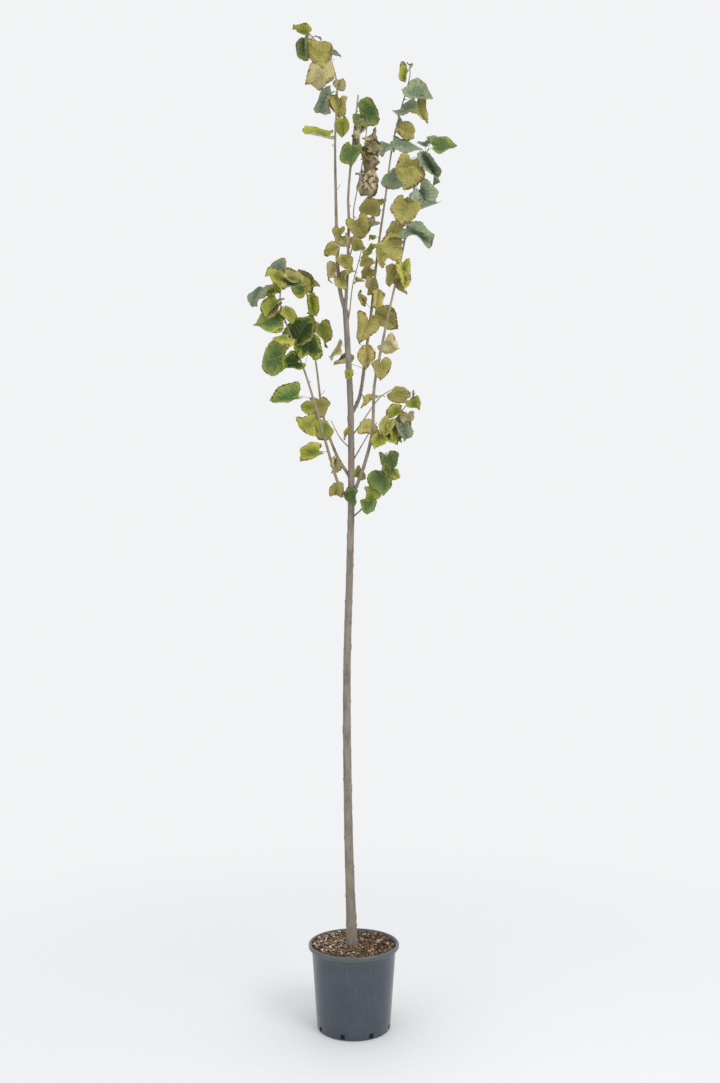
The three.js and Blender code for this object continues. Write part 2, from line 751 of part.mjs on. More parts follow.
// A mass is its stem and the leaves of its runs, joined. The leaves of a run are spread evenly along it.
function massSolid({ limb, seed, runs }) {
  const draw = drawsFrom(seed);
  const { leafy, parents } = LIMBS[limb];
  const start = leafy ? shareAt(limb, leafy) + SEAM / curves[limb].getLength() : 0;
  let mass = limbSolid(limb, start, 1);
  for (const run of runs)
    run.bearings.forEach((bearing, i) => {
      const step = run.bearings.length > 1 ? i / (run.bearings.length - 1) : 0;
      const between = ([first, last = first]) => first + (last - first) * step;
      const leaf = { ...run, bearing, blade: between(run.blade) };
      mass = mass.add(leafOn(limb, between(run.at), leaf, draw));
    });
  return cutClear(mass, parents);
}

show("pot", potSolid(), LOOKS.pot);
show("substrate", soilSolid(), LOOKS.substrate);

for (const name of Object.keys(LIMBS)) if (LIMBS[name].leafy !== 0) show(name, bareSolid(name), LOOKS.bark);

for (const [name, mass] of Object.entries(MASSES)) show(name, massSolid(mass), LOOKS.leaf);

for (const [limb, { seed, leaves }] of Object.entries(LONE_LEAVES)) {
  const draw = drawsFrom(seed);
  leaves.forEach((leaf, i) => {
    const solid = leafOn(limb, leaf.at, leaf, draw);
    show(`leaf_${limb}_${i + 1}`, cutClear(solid, [limb]), LOOKS.leaf);
  });
}

export default group;
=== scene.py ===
"""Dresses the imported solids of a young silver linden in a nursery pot. The scene is in metres, +Z up, and
the tables are in mm."""

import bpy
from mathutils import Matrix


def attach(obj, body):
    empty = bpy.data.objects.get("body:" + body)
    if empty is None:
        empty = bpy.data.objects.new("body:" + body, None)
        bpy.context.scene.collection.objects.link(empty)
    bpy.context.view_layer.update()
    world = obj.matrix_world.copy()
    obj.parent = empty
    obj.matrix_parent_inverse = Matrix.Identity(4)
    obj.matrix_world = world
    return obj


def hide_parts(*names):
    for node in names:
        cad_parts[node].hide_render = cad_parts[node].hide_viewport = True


bl_info = {
    "name": "Potted Silver Linden",
    "version": (1, 0, 0),
    "blender": (4, 5, 0),
    "location": "3D View > Sidebar > Linden",
    "description": "Grows bark, twigs and autumn leaves over the solids of a potted silver linden",
    "category": "Add Mesh",
}

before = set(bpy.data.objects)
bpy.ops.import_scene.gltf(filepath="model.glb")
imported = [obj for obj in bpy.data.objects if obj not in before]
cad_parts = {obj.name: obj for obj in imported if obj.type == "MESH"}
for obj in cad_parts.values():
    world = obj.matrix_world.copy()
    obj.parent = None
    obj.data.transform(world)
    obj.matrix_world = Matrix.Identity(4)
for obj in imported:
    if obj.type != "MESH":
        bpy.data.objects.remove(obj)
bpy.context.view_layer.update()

import bisect
import math

import bpy
from bpy.props import FloatProperty, FloatVectorProperty, IntProperty, PointerProperty
from bpy.types import Operator, Panel, PropertyGroup
from mathutils import Euler, Vector, noise

MM = 0.001
DOWN = Vector((0, 0, -1))


def linear(code):
    """An sRGB hex colour as linear red, green and blue."""
    parts = [int(code[i : i + 2], 16) / 255 for i in (1, 3, 5)]
    return tuple(c / 12.92 if c <= 0.04045 else ((c + 0.055) / 1.055) ** 2.4 for c in parts)


# Height of the substrate in the solids.
SOIL_LEVEL = 308

# A limb runs smoothly through a few places. foot and tip are its radii at the two ends, and flare widens
# the trunk towards the ground.
LIMBS = dict(
    trunk=dict(
        through=[
            [-5, 0, 255], [-22, 0, 780], [-28, 0, 1330], [-16, 0, 1800], [-11, 0, 2100], [-15, 0, 2450],
            [-35, 0, 2825],
        ],
        foot=17.8, tip=11.4, flare=dict(width=6.5, height=150),
    ),
    leader_left=dict(
        through=[
            [-31, 0, 2802], [-57, 10, 2908], [-70, 22, 3060], [-76, 40, 3300], [-80, 50, 3560],
            [-72, 50, 3780], [-92, 50, 3890], [-131, 46, 3955], [-182, 40, 4014],
        ],
        foot=8.5, tip=2,
    ),
    leader_right=dict(
        through=[
            [-36, 0, 2806], [-31, -6, 2911], [-25, -12, 3034], [-22, -20, 3193], [-24, -26, 3290],
            [-11, -36, 3450], [17, -50, 3705],
        ],
        foot=7, tip=3.2,
    ),
    bough_left_low=dict(
        through=[
            [-11, 0, 2045], [-62, -26, 2108], [-122, -80, 2304], [-187, -140, 2520], [-259, -185, 2704],
            [-285, -200, 2800], [-272, -215, 2895],
        ],
        foot=6.5, tip=2,
    ),
    bough_left_high=dict(
        through=[
            [-12, 0, 2130], [-76, 34, 2246], [-128, 66, 2407], [-155, 92, 2600], [-180, 112, 2770],
            [-204, 135, 2970],
        ],
        foot=6.5, tip=2,
    ),
    bough_right_low=dict(
        through=[
            [-12, 0, 2050], [36, -34, 2168], [72, -62, 2308], [80, -88, 2478], [99, -104, 2592],
            [140, -130, 2785], [190, -155, 3005], [232, -175, 3232], [256, -182, 3322], [290, -190, 3406],
        ],
        foot=7.5, tip=2,
    ),
    bough_right_high=dict(
        through=[
            [-16, 0, 2385], [24, 30, 2481], [50, 62, 2675], [70, 80, 2834], [98, 100, 3100],
            [135, 118, 3372], [157, 128, 3545], [187, 138, 3697], [236, 150, 3885], [238, 150, 3943],
        ],
        foot=7.5, tip=2,
    ),
    twig_fork=dict(
        through=[[-58, 9, 2915], [-66, -22, 2975], [-60, -30, 3075], [-48, -34, 3160]],
        foot=2.6, tip=1.6,
    ),
    twig_inner=dict(
        through=[[-29, 0, 2762], [-20, -12, 2800], [-6, -30, 2915], [16, -40, 3002], [30, -44, 3060]],
        foot=2.8, tip=1.6,
    ),
    twig_dried=dict(
        through=[
            [-25, -12, 3020], [0, -32, 3110], [-2, -36, 3222], [16, -38, 3328], [30, -42, 3400],
            [44, -46, 3500], [54, -48, 3586],
        ],
        foot=3, tip=1.8,
    ),
    twig_low=dict(
        through=[[-11, 0, 1972], [40, -20, 2018], [78, -42, 2080], [108, -58, 2150], [126, -68, 2225]],
        foot=3.4, tip=1.8,
    ),
    twig_side=dict(
        through=[[64, -56, 2256], [110, -62, 2298], [150, -68, 2342], [192, -75, 2395], [240, -84, 2460]],
        foot=3, tip=1.6,
    ),
    twig_middle=dict(
        through=[[-13, 0, 2300], [32, -8, 2360], [77, -20, 2426], [112, -30, 2464], [150, -40, 2486]],
        foot=3, tip=1.6,
    ),
    twig_bare_left=dict(
        through=[[-14, 0, 2255], [-56, -20, 2295], [-92, -30, 2363]],
        foot=2.6, tip=1.4,
    ),
    twig_bare_right=dict(
        through=[[-11, 0, 2195], [62, -14, 2318], [91, -18, 2357]],
        foot=3.2, tip=1.6,
    ),
)

# A heart-shaped blade, in shares of its length. The right-hand margin runs from beside the petiole to the
# tip.
BLADE_MARGIN = [[0.25, -0.13], [0.51, 0.06], [0.53, 0.38], [0.36, 0.73]]
BLADE_TIP = [[0.12, 0.94], [0, 1.03]]

# Over its last share, turn, a petiole runs with the blade. leave and arrive are the pulls of its two ends.
PETIOLE = dict(turn=0.15, leave=0.5, arrive=0.3)

# How leaves usually lie, and how far each strays from that or from its run. Angles are in degrees, but roll
# and curl are in radians, and along and length are shares.
USUAL = dict(face=270, tilt=22, fold=26, roll=0.5, curl=0.6)
STRAY = dict(
    bearing=10, rise=8, along=0.22, face=32, tilt=20, length=0.08, fold=15, roll=0.5, curl=0.6
)

# Masses of foliage. Each has one stem, which is a limb or the end of one. A run has one leaf for each of its
# bearings, in degrees round from +X towards +Y, spread between two heights on the stem, and its tints are
# dealt out in turn. rise is the slope of a petiole, and blade the lengths of the first and last blade. hang
# is how far a blade drops from its petiole's line to straight down, face the bearing that its top turns to,
# and fold the slope of its two halves.
MASSES = dict(
    foliage_top=dict(limb="leader_left", seed=11, runs=[
        dict(tints="lime", at=[3568], bearings=[185], rise=2, petiole=24, blade=[116], hang=0.05, face=272,
             fold=40),
        dict(tints="lime", at=[3646], bearings=[342], rise=20, petiole=28, blade=[66], hang=0.7, face=250),
        dict(tints="olive olive", at=[3738, 3744], bearings=[350, 200], rise=30, petiole=16, blade=[76, 62],
             hang=0.9, fold=44),
        dict(tints="teal", at=[3768], bearings=[186], rise=15, petiole=26, blade=[110], hang=0.45, face=236,
             fold=50),
        dict(tints="tan", at=[3775], bearings=[330], rise=72, petiole=10, blade=[54], hang=0, fold=62),
        dict(tints="tan", at=[3882], bearings=[190], rise=10, petiole=46, blade=[112], hang=0.6, face=262,
             fold=18),
        dict(tints="olive", at=[3890], bearings=[190], rise=28, petiole=38, blade=[104], hang=0.02,
             face=262, fold=18),
        dict(tints="green", at=[3998], bearings=[188], rise=10, petiole=38, blade=[86], hang=0.9, face=236,
             fold=48),
        dict(tints="teal teal", at=[3936, 4006], bearings=[10, 20], rise=25, petiole=14, blade=[50, 30],
             hang=0.4),
        dict(tints="lime", at=[4010], bearings=[190], rise=30, petiole=18, blade=[60], hang=0.3, face=280),
    ]),
    foliage_fork=dict(limb="twig_fork", seed=5, runs=[
        dict(tints="olive tan olive", at=[2950, 3150], bearings=[340, 195, 340, 200, 345, 200], rise=15,
             petiole=10, blade=[72, 54], hang=0.6, face=265),
    ]),
    foliage_inner=dict(limb="twig_inner", seed=7, runs=[
        dict(tints="olive", at=[2925, 3056], bearings=[350, 240, 350, 235], rise=20, petiole=12,
             blade=[44, 66], hang=0.4),
    ]),
    foliage_dried=dict(limb="twig_dried", seed=21, runs=[
        dict(tints="olive", at=[3195], bearings=[340], rise=5, petiole=12, blade=[98], hang=0.7),
        dict(tints="dried", at=[3352, 3392], bearings=[350, 20], rise=-5, petiole=28, blade=[76, 84],
             hang=0.9, face=280, fold=50),
        dict(tints="dried", at=[3440, 3505], bearings=[330, 0, 350], rise=0, petiole=26, blade=[100, 86],
             hang=0.85, face=260, fold=45),
        dict(tints="dried", at=[3525, 3565], bearings=[350, 190], rise=10, petiole=18, blade=[84, 84],
             hang=0.7, fold=45),
    ]),
    foliage_right_high=dict(limb="bough_right_high", seed=31, runs=[
        dict(tints="olive", at=[3112], bearings=[310], rise=-10, petiole=12, blade=[82], hang=0.95,
             face=300),
        dict(tints="lime olive", at=[3125, 3165], bearings=[190, 200], rise=15, petiole=22, blade=[66, 36],
             hang=0.55),
        dict(tints="silver olive", at=[3225, 3285], bearings=[195, 200], rise=15, petiole=30,
             blade=[66, 84], hang=0.45),
        dict(tints="lime", at=[3315], bearings=[200], rise=40, petiole=8, blade=[40], hang=0.2),
        dict(tints="teal", at=[3456], bearings=[288], rise=0, petiole=10, blade=[116], hang=0.4, face=268,
             fold=16),
        dict(tints="teal teal", at=[3582, 3612], bearings=[200, 335], rise=5, petiole=8, blade=[80, 122],
             hang=0.4, face=266, fold=10),
        dict(tints="olive teal", at=[3655, 3710], bearings=[350, 70], rise=15, petiole=18, blade=[84, 64],
             hang=0.35, face=260),
        dict(tints="teal", at=[3740, 3838], bearings=[318, 335], rise=-4, petiole=10, blade=[114, 104],
             hang=0.36, face=258, fold=12),
        dict(tints="olive", at=[3790], bearings=[20], rise=5, petiole=56, blade=[92], hang=0.6),
        dict(tints="lime", at=[3926], bearings=[225], rise=5, petiole=8, blade=[74], hang=0.65, fold=30),
        dict(tints="green", at=[3940], bearings=[90], rise=65, petiole=8, blade=[28], hang=0),
    ]),
    foliage_right_low=dict(limb="bough_right_low", seed=41, runs=[
        dict(tints="olive olive", at=[2928, 2950], bearings=[345, 195], rise=15, petiole=16, blade=[80, 76],
             hang=0.75),
        dict(tints="lime", at=[2962], bearings=[345], rise=-5, petiole=10, blade=[86], hang=0.6, fold=54),
        dict(tints="olive olive", at=[3020, 3075], bearings=[190, 196], rise=18, petiole=12, blade=[98, 82],
             hang=0.2),
        dict(tints="teal", at=[3095], bearings=[350], rise=0, petiole=8, blade=[116], hang=0.55, face=238,
             fold=56),
        dict(tints="olive olive", at=[3205, 3216], bearings=[215, 185], rise=5, petiole=20, blade=[108, 66],
             hang=0.8, face=260, fold=18),
        dict(tints="teal", at=[3262], bearings=[345], rise=0, petiole=8, blade=[116], hang=0.6, face=238,
             fold=58),
        dict(tints="olive olive", at=[3330, 3366], bearings=[205, 188], rise=10, petiole=50, blade=[92, 84],
             hang=0.6, fold=18),
        dict(tints="teal", at=[3380], bearings=[340], rise=0, petiole=8, blade=[118], hang=0.7, face=236,
             fold=58),
        dict(tints="teal teal", at=[3390, 3404], bearings=[110, 45], rise=70, petiole=36, blade=[62, 46],
             hang=0.1),
        dict(tints="green", at=[3402], bearings=[5], rise=40, petiole=32, blade=[88], hang=0.2, face=280,
             fold=18),
    ]),
    foliage_left_low=dict(limb="bough_left_low", seed=51, runs=[
        dict(tints="fresh", at=[2430], bearings=[180], rise=21, petiole=60, blade=[112], hang=0.22,
             face=262, fold=44),
        dict(tints="deep", at=[2545], bearings=[10], rise=78, petiole=58, blade=[124], hang=0, face=265,
             fold=16),
        dict(tints="deep", at=[2565], bearings=[205], rise=20, petiole=16, blade=[92], hang=0.3),
        dict(tints="fresh", at=[2590], bearings=[180], rise=8, petiole=58, blade=[138], hang=0.12, face=268,
             fold=12),
        dict(tints="deep", at=[2635], bearings=[10], rise=55, petiole=12, blade=[136], hang=0.02, face=275,
             fold=16),
        dict(tints="lime fresh", at=[2655, 2715], bearings=[215, 180], rise=12, petiole=20, blade=[84, 116],
             hang=0.2, fold=14),
        dict(tints="lime olive lime", at=[2770, 2800], bearings=[340, 185, 205], rise=20, petiole=14,
             blade=[66, 92], hang=0.6),
        dict(tints="teal", at=[2826], bearings=[182], rise=20, petiole=66, blade=[96], hang=0.58, face=262,
             fold=40),
        dict(tints="lime green lime olive", at=[2828, 2880], bearings=[185, 340, 248, 20], rise=35,
             petiole=12, blade=[76, 88], hang=0.25),
        dict(tints="teal", at=[2897], bearings=[135], rise=45, petiole=18, blade=[92], hang=0.25, face=262,
             fold=30),
    ]),
    foliage_left_high=dict(limb="bough_left_high", seed=61, runs=[
        dict(tints="lime", at=[2790], bearings=[0], rise=30, petiole=46, blade=[104], hang=0.75, face=275,
             fold=18),
        dict(tints="lime lime", at=[2905, 2925], bearings=[0, 340], rise=10, petiole=10, blade=[70, 76],
             hang=0.85, face=320, fold=50),
        dict(tints="lime green olive lime", at=[2925, 2965], bearings=[200, 210, 60, 100], rise=58,
             petiole=14, blade=[84, 96], hang=0.1, fold=18),
    ]),
    foliage_low=dict(limb="twig_low", seed=71, runs=[
        dict(tints="green lime", at=[2042, 2084], bearings=[285, 215], rise=0, petiole=10, blade=[64, 66],
             hang=0.7),
        dict(tints="green", at=[2150], bearings=[238], rise=10, petiole=14, blade=[90], hang=0.95),
        dict(tints="lime", at=[2165, 2185], bearings=[350, 20], rise=10, petiole=22, blade=[66, 60],
             hang=0.7, face=280),
        dict(tints="green lime", at=[2215, 2223], bearings=[290, 60], rise=20, petiole=12, blade=[82, 54],
             hang=0.5),
    ]),
    foliage_side=dict(limb="twig_side", seed=81, runs=[
        dict(tints="lime lime olive lime", at=[2300, 2335], bearings=[250, 320, 350, 300], rise=10,
             petiole=14, blade=[64, 68], hang=0.6),
        dict(tints="teal olive lime tan", at=[2345, 2385], bearings=[340, 240, 20, 340], rise=0, petiole=30,
             blade=[74, 66], hang=0.7),
        dict(tints="lime", at=[2394], bearings=[210], rise=10, petiole=8, blade=[58], hang=0.5),
        dict(tints="lime olive", at=[2425, 2460], bearings=[320, 80], rise=0, petiole=10, blade=[72, 46],
             hang=0.45),
    ]),
    foliage_middle=dict(limb="twig_middle", seed=91, runs=[
        dict(tints="yellow", at=[2344], bearings=[325], rise=-8, petiole=10, blade=[72], hang=0.05,
             face=300, fold=46),
        dict(tints="tan olive", at=[2460, 2484], bearings=[250, 0], rise=10, petiole=14, blade=[52, 78],
             hang=0.4),
    ]),
)

# Leaves that stand alone on the bare stretch of a limb. at is where each leaves the limb.
LONE_LEAVES = dict(
    trunk=dict(seed=121, leaves=[
        dict(tint="green", at=2072, bearing=280, rise=20, petiole=30, blade=72, hang=0.5),
        dict(tint="lime", at=2168, bearing=350, rise=15, petiole=24, blade=54, hang=0.55),
        dict(tint="yellow", at=2318, bearing=235, rise=0, petiole=22, blade=56, hang=0.1, face=260, fold=55),
        dict(tint="lime", at=2572, bearing=270, rise=0, petiole=18, blade=36, hang=0.9),
        dict(tint="tan", at=2680, bearing=150, rise=0, petiole=26, blade=74, hang=0.3, face=250),
    ]),
    leader_right=dict(seed=131, leaves=[
        dict(tint="green", at=3484, bearing=262, rise=0, petiole=16, blade=90, hang=0.85, fold=34),
        dict(tint="green", at=3634, bearing=343, rise=7, petiole=15, blade=106, hang=0.27, face=262,
             fold=16),
    ]),
    bough_left_low=dict(seed=101, leaves=[
        dict(tint="olive", at=2108, bearing=235, rise=-10, petiole=14, blade=70, hang=0.95, face=265),
        dict(tint="tan", at=2205, bearing=350, rise=0, petiole=12, blade=62, hang=0.7, face=300, fold=60),
        dict(tint="lime", at=2232, bearing=180, rise=0, petiole=38, blade=84, hang=0.3, face=250, fold=40),
        dict(tint="lime", at=2316, bearing=180, rise=20, petiole=32, blade=80, hang=0.1),
        dict(tint="lime", at=2385, bearing=180, rise=30, petiole=20, blade=56, hang=0.1),
    ]),
    bough_left_high=dict(seed=111, leaves=[
        dict(tint="lime", at=2378, bearing=245, rise=10, petiole=18, blade=84, hang=0.85, face=246, fold=36),
        dict(tint="olive", at=2474, bearing=240, rise=0, petiole=12, blade=82, hang=0.8, fold=34),
    ]),
    bough_right_low=dict(seed=151, leaves=[
        dict(tint="olive", at=2583, bearing=310, rise=30, petiole=24, blade=78, hang=0.8, face=280),
        dict(tint="tan", at=2662, bearing=350, rise=0, petiole=8, blade=94, hang=0.4, face=238, fold=46),
    ]),
    bough_right_high=dict(seed=141, leaves=[
        dict(tint="yellow", at=2484, bearing=20, rise=-20, petiole=18, blade=54, hang=0.95),
        dict(tint="tan", at=2594, bearing=176, rise=22, petiole=62, blade=66, hang=0.05, face=300, fold=60),
        dict(tint="yellow", at=2668, bearing=270, rise=20, petiole=24, blade=78, hang=1),
        dict(tint="yellow", at=2800, bearing=258, rise=15, petiole=22, blade=106, hang=0.8, face=265),
        dict(tint="olive", at=2818, bearing=352, rise=20, petiole=34, blade=98, hang=0.6),
        dict(tint="yellow", at=2850, bearing=186, rise=55, petiole=34, blade=62, hang=0, fold=65),
        dict(tint="tan", at=2972, bearing=205, rise=20, petiole=16, blade=56, hang=0.7),
        dict(tint="yellow", at=2930, bearing=12, rise=10, petiole=16, blade=104, hang=0.95, face=300,
             fold=50),
        dict(tint="olive", at=3034, bearing=190, rise=10, petiole=18, blade=58, hang=0.5),
    ]),
)


def mass_on(limb):
    """The mass of foliage that a limb carries, if any."""
    return next((name for name, mass in MASSES.items() if mass["limb"] == limb), None)


def draws_from(seed):
    """Repeatable draws from 0 to 1."""
    state = seed * 7919 + 17
    while True:
        state = state * 16807 % 2147483647
        yield state / 2147483647


def jitter(draw):
    """A draw from -1 to 1."""
    return next(draw) * 2 - 1


def heading(bearing, rise):
    """The direction of a bearing round from +X towards +Y and a slope above level, both in degrees."""
    turn, climb = math.radians(bearing), math.radians(rise)
    return Vector((math.cos(turn) * math.cos(climb), math.sin(turn) * math.cos(climb), math.sin(climb)))


class Line:
    """A smooth line through some places, read by share of its length."""

    DIVISIONS = 200
    HALVINGS = 24
    NUDGE = 1e-4

    def __init__(self, through):
        self.places = [Vector(place) for place in through]
        samples = [self.point(i / self.DIVISIONS) for i in range(self.DIVISIONS + 1)]
        self.lengths = [0.0]
        for a, b in zip(samples, samples[1:]):
            self.lengths.append(self.lengths[-1] + (b - a).length)
        self.length = self.lengths[-1]

    def point(self, t):
        last = len(self.places) - 2
        i = min(max(int((last + 1) * t), 0), last)
        w = (last + 1) * t - i
        start, end = self.places[i], self.places[i + 1]
        before = self.places[i - 1] if i > 0 else 2 * start - end
        after = self.places[i + 2] if i < last else 2 * end - start
        leave, arrive = (end - before) / 2, (after - start) / 2
        square = 3 * (end - start) - 2 * leave - arrive
        cube = 2 * (start - end) + leave + arrive
        return start + leave * w + square * w**2 + cube * w**3

    def time_at(self, share):
        target = share * self.length
        i = min(max(bisect.bisect_right(self.lengths, target) - 1, 0), self.DIVISIONS - 1)
        return (i + (target - self.lengths[i]) / (self.lengths[i + 1] - self.lengths[i])) / self.DIVISIONS

    def at(self, share):
        return self.point(self.time_at(share))

    def along(self, share):
        t = self.time_at(share)
        return (self.point(min(t + self.NUDGE, 1)) - self.point(max(t - self.NUDGE, 0))).normalized()

    def share_at(self, height):
        low, high = 0.0, 1.0
        for _ in range(self.HALVINGS):
            middle = (low + high) / 2
            if self.at(middle).z < height:
                low = middle
            else:
                high = middle
        return (low + high) / 2


LINES = {name: Line(limb["through"]) for name, limb in LIMBS.items()}


def limb_radius(name, share):
    """The radius of a limb's plain taper, with the trunk's flare."""
    limb = LIMBS[name]
    radius = limb["foot"] + (limb["tip"] - limb["foot"]) * share
    flare = limb.get("flare")
    if flare:
        radius += flare["width"] * math.exp(-share * LINES[name].length / flare["height"])
    return radius


# Materials. Colours that reach these functions are linear, and sizes are in metres.


def add_node(tree, kind, inputs=None, stops=(), **settings):
    """Adds a shader node with its settings and links. An input is a value, or the socket or node that it is
    linked to, and a node gives the first output that it uses. stops are the places and colours of a ramp."""
    node = tree.nodes.new("ShaderNode" + kind)
    for name, value in settings.items():
        setattr(node, name, value)
    for name, value in (inputs or {}).items():
        if isinstance(value, bpy.types.Node):
            value = next(output for output in value.outputs if output.enabled)
        if isinstance(value, bpy.types.NodeSocket):
            tree.links.new(value, node.inputs[name])
        else:
            node.inputs[name].default_value = value
    for i, (place, colour) in enumerate(stops):
        elements = node.color_ramp.elements
        element = elements[i] if i < len(elements) else elements.new(place)
        element.position, element.color = place, (*colour, 1)
    return node


def bare_material(name):
    """A new material without nodes, and its tree."""
    material = bpy.data.materials.new(name)
    material.use_nodes = True
    material.node_tree.nodes.clear()
    return material, material.node_tree


def shaded(colour, factor):
    """A lighter or darker shade of a colour."""
    return tuple(min(1, c * factor) for c in colour)


def moulded_polypropylene(colour):
    """Injection-moulded polypropylene, satin from the mould. It gives the eye a broad soft highlight, with
    pale upright rubs from stacking, and its colour turns paler and greyer towards the lip."""
    material, tree = bare_material("moulded_polypropylene")
    place = add_node(tree, "TexCoord").outputs["Object"]
    upright = add_node(tree, "Mapping", {"Vector": place, "Scale": (1, 1, 0.1)})
    rubs = add_node(
        tree, "TexNoise", {"Vector": upright, "Scale": 1 / (7 * MM), "Detail": 5.0, "Roughness": 0.6}
    )
    clouds = add_node(tree, "TexNoise", {"Vector": place, "Scale": 1 / (60 * MM), "Detail": 3.0})
    wear = add_node(tree, "Math", {0: rubs, 1: clouds}, operation="MULTIPLY")
    stops = [(0.12, shaded(colour, 0.88)), (0.26, colour), (0.44, shaded(colour, 1.3))]
    worn = add_node(tree, "ValToRGB", {"Fac": wear}, stops)
    height = add_node(tree, "SeparateXYZ", {"Vector": place}).outputs["Z"]
    # Over the top 45 mm, towards the lip, the colour is mixed up to a fifth of the way to a pale grey.
    lip = {"Value": height, "From Min": 270 * MM, "From Max": 315 * MM, "To Min": 0.02, "To Max": 0.2}
    lip_pale = add_node(tree, "MapRange", lip)
    grey = (*linear("#8d8a80"), 1)
    lip_paled = add_node(tree, "Mix", {"Factor": lip_pale, "A": worn, "B": grey}, data_type="RGBA")
    grain = add_node(tree, "TexNoise", {"Vector": place, "Scale": 1 / (1.5 * MM), "Detail": 3.0})
    rub = {"Value": wear, "From Min": 0.15, "From Max": 0.4, "To Min": 0.3, "To Max": 0.52}
    dull = add_node(tree, "MapRange", rub)
    relief = add_node(tree, "Bump", {"Height": grain, "Distance": 0.08 * MM})
    finish = {"Base Color": lip_paled, "Roughness": dull, "IOR": 1.49, "Normal": relief}
    sheen = {"Sheen Weight": 0.32, "Sheen Roughness": 0.35}
    shader = add_node(tree, "BsdfPrincipled", finish | sheen)
    add_node(tree, "OutputMaterial", {"Surface": shader})
    return material


def composted_bark(name, colour):
    """Composted bark, peat or coir, milled and moist. It gives the eye a matt, fibrous crumb whose colour is
    uneven from bit to bit. Deep in the pot its colour is painted nearly black, as painted shade."""
    material, tree = bare_material(name)
    place = add_node(tree, "TexCoord").outputs["Object"]
    patches = add_node(tree, "TexNoise", {"Vector": place, "Scale": 1 / (6 * MM), "Detail": 4.0})
    stops = [(0.35, shaded(colour, 0.65)), (0.65, shaded(colour, 1.35))]
    tint = add_node(tree, "ValToRGB", {"Fac": patches}, stops)
    height = add_node(tree, "SeparateXYZ", {"Vector": place}).outputs["Z"]
    # Painted shade: below 290 mm the colour darkens steadily, down to a tenth of its value at the ground.
    deep_shade = add_node(
        tree, "MapRange", {"Value": height, "From Max": 290 * MM, "To Min": 0.1, "To Max": 1.0}
    )
    depth = add_node(tree, "HueSaturation", {"Value": deep_shade, "Color": tint})
    fibres = add_node(tree, "TexNoise", {"Vector": place, "Scale": 1 / (1.2 * MM), "Detail": 5.0})
    relief = add_node(tree, "Bump", {"Height": fibres, "Distance": 0.6 * MM})
    shader = add_node(
        tree, "BsdfPrincipled", {"Base Color": depth, "Roughness": 0.92, "Normal": relief}
    )
    add_node(tree, "OutputMaterial", {"Surface": shader})
    return material


# The radius of a pore in the bark, as a share of the spacing of pores.
PORE = 0.17


def linden_bark(name, colour, pale):
    """Young linden bark, grown. It gives the eye a smooth grey-brown skin with darker weathered blotches,
    fine upright cracks and pale corky pores that lie across the stem. The pores are about 3 mm long, at
    the large end of what such a stem has, and the cracks 2.4 mm apart, coarser than real ones, so that
    both show."""
    material, tree = bare_material(name)
    place = add_node(tree, "TexCoord").outputs["Object"]
    drawn_up = add_node(tree, "Mapping", {"Vector": place, "Scale": (1, 1, 0.3)})
    blotches = add_node(
        tree, "TexNoise", {"Vector": drawn_up, "Scale": 1 / (18 * MM), "Detail": 5.0, "Roughness": 0.6}
    )
    stops = [(0.3, shaded(colour, 0.6)), (0.48, colour), (0.7, shaded(colour, 1.3))]
    ground = add_node(tree, "ValToRGB", {"Fac": blotches}, stops)
    flattened = add_node(tree, "Mapping", {"Vector": place, "Scale": (1, 1, 1.9)})
    cells = add_node(tree, "TexVoronoi", {"Vector": flattened, "Scale": 1 / (9 * MM)}, feature="F1")
    pores = add_node(tree, "Math", {0: cells, 1: PORE}, operation="LESS_THAN")
    tint = add_node(tree, "Mix", {"Factor": pores, "A": ground, "B": (*pale, 1)}, data_type="RGBA")
    cracked = add_node(tree, "Mapping", {"Vector": place, "Scale": (1, 1, 0.12)})
    cracks = add_node(tree, "TexNoise", {"Vector": cracked, "Scale": 1 / (2.4 * MM), "Detail": 3.0})
    height = add_node(tree, "Math", {0: pores, 1: cracks}, operation="ADD")
    relief = add_node(tree, "Bump", {"Height": height, "Distance": 0.35 * MM})
    shader = add_node(
        tree, "BsdfPrincipled", {"Base Color": tint, "Roughness": 0.82, "Normal": relief}
    )
    add_node(tree, "OutputMaterial", {"Surface": shader})
    return material


# Side veins leave the midrib every VEIN_SPACING of its length, and climb VEIN_CLIMB for each step outwards.
VEIN_SPACING = 0.15
VEIN_CLIMB = 0.75
# How strongly the veins are drawn over the blade's own colour.
VEIN_STRENGTH = 0.42
# How much older a blade looks away from its side veins and in patches, and what is taken off for both.
AGE_AWAY = 1.1
AGE_PATCHES = 1.4
AGE_OFFSET = 0.74
# How far a change of colour is softened, and how high the pillows between the veins stand.
SOFT_EDGE = 0.08
PILLOW = 14.0
# The finish above and below.
WAXY = dict(roughness=0.6, felt=0.0, rise=1.5)
DOWNY = dict(roughness=0.68, felt=0.35, rise=1.2)


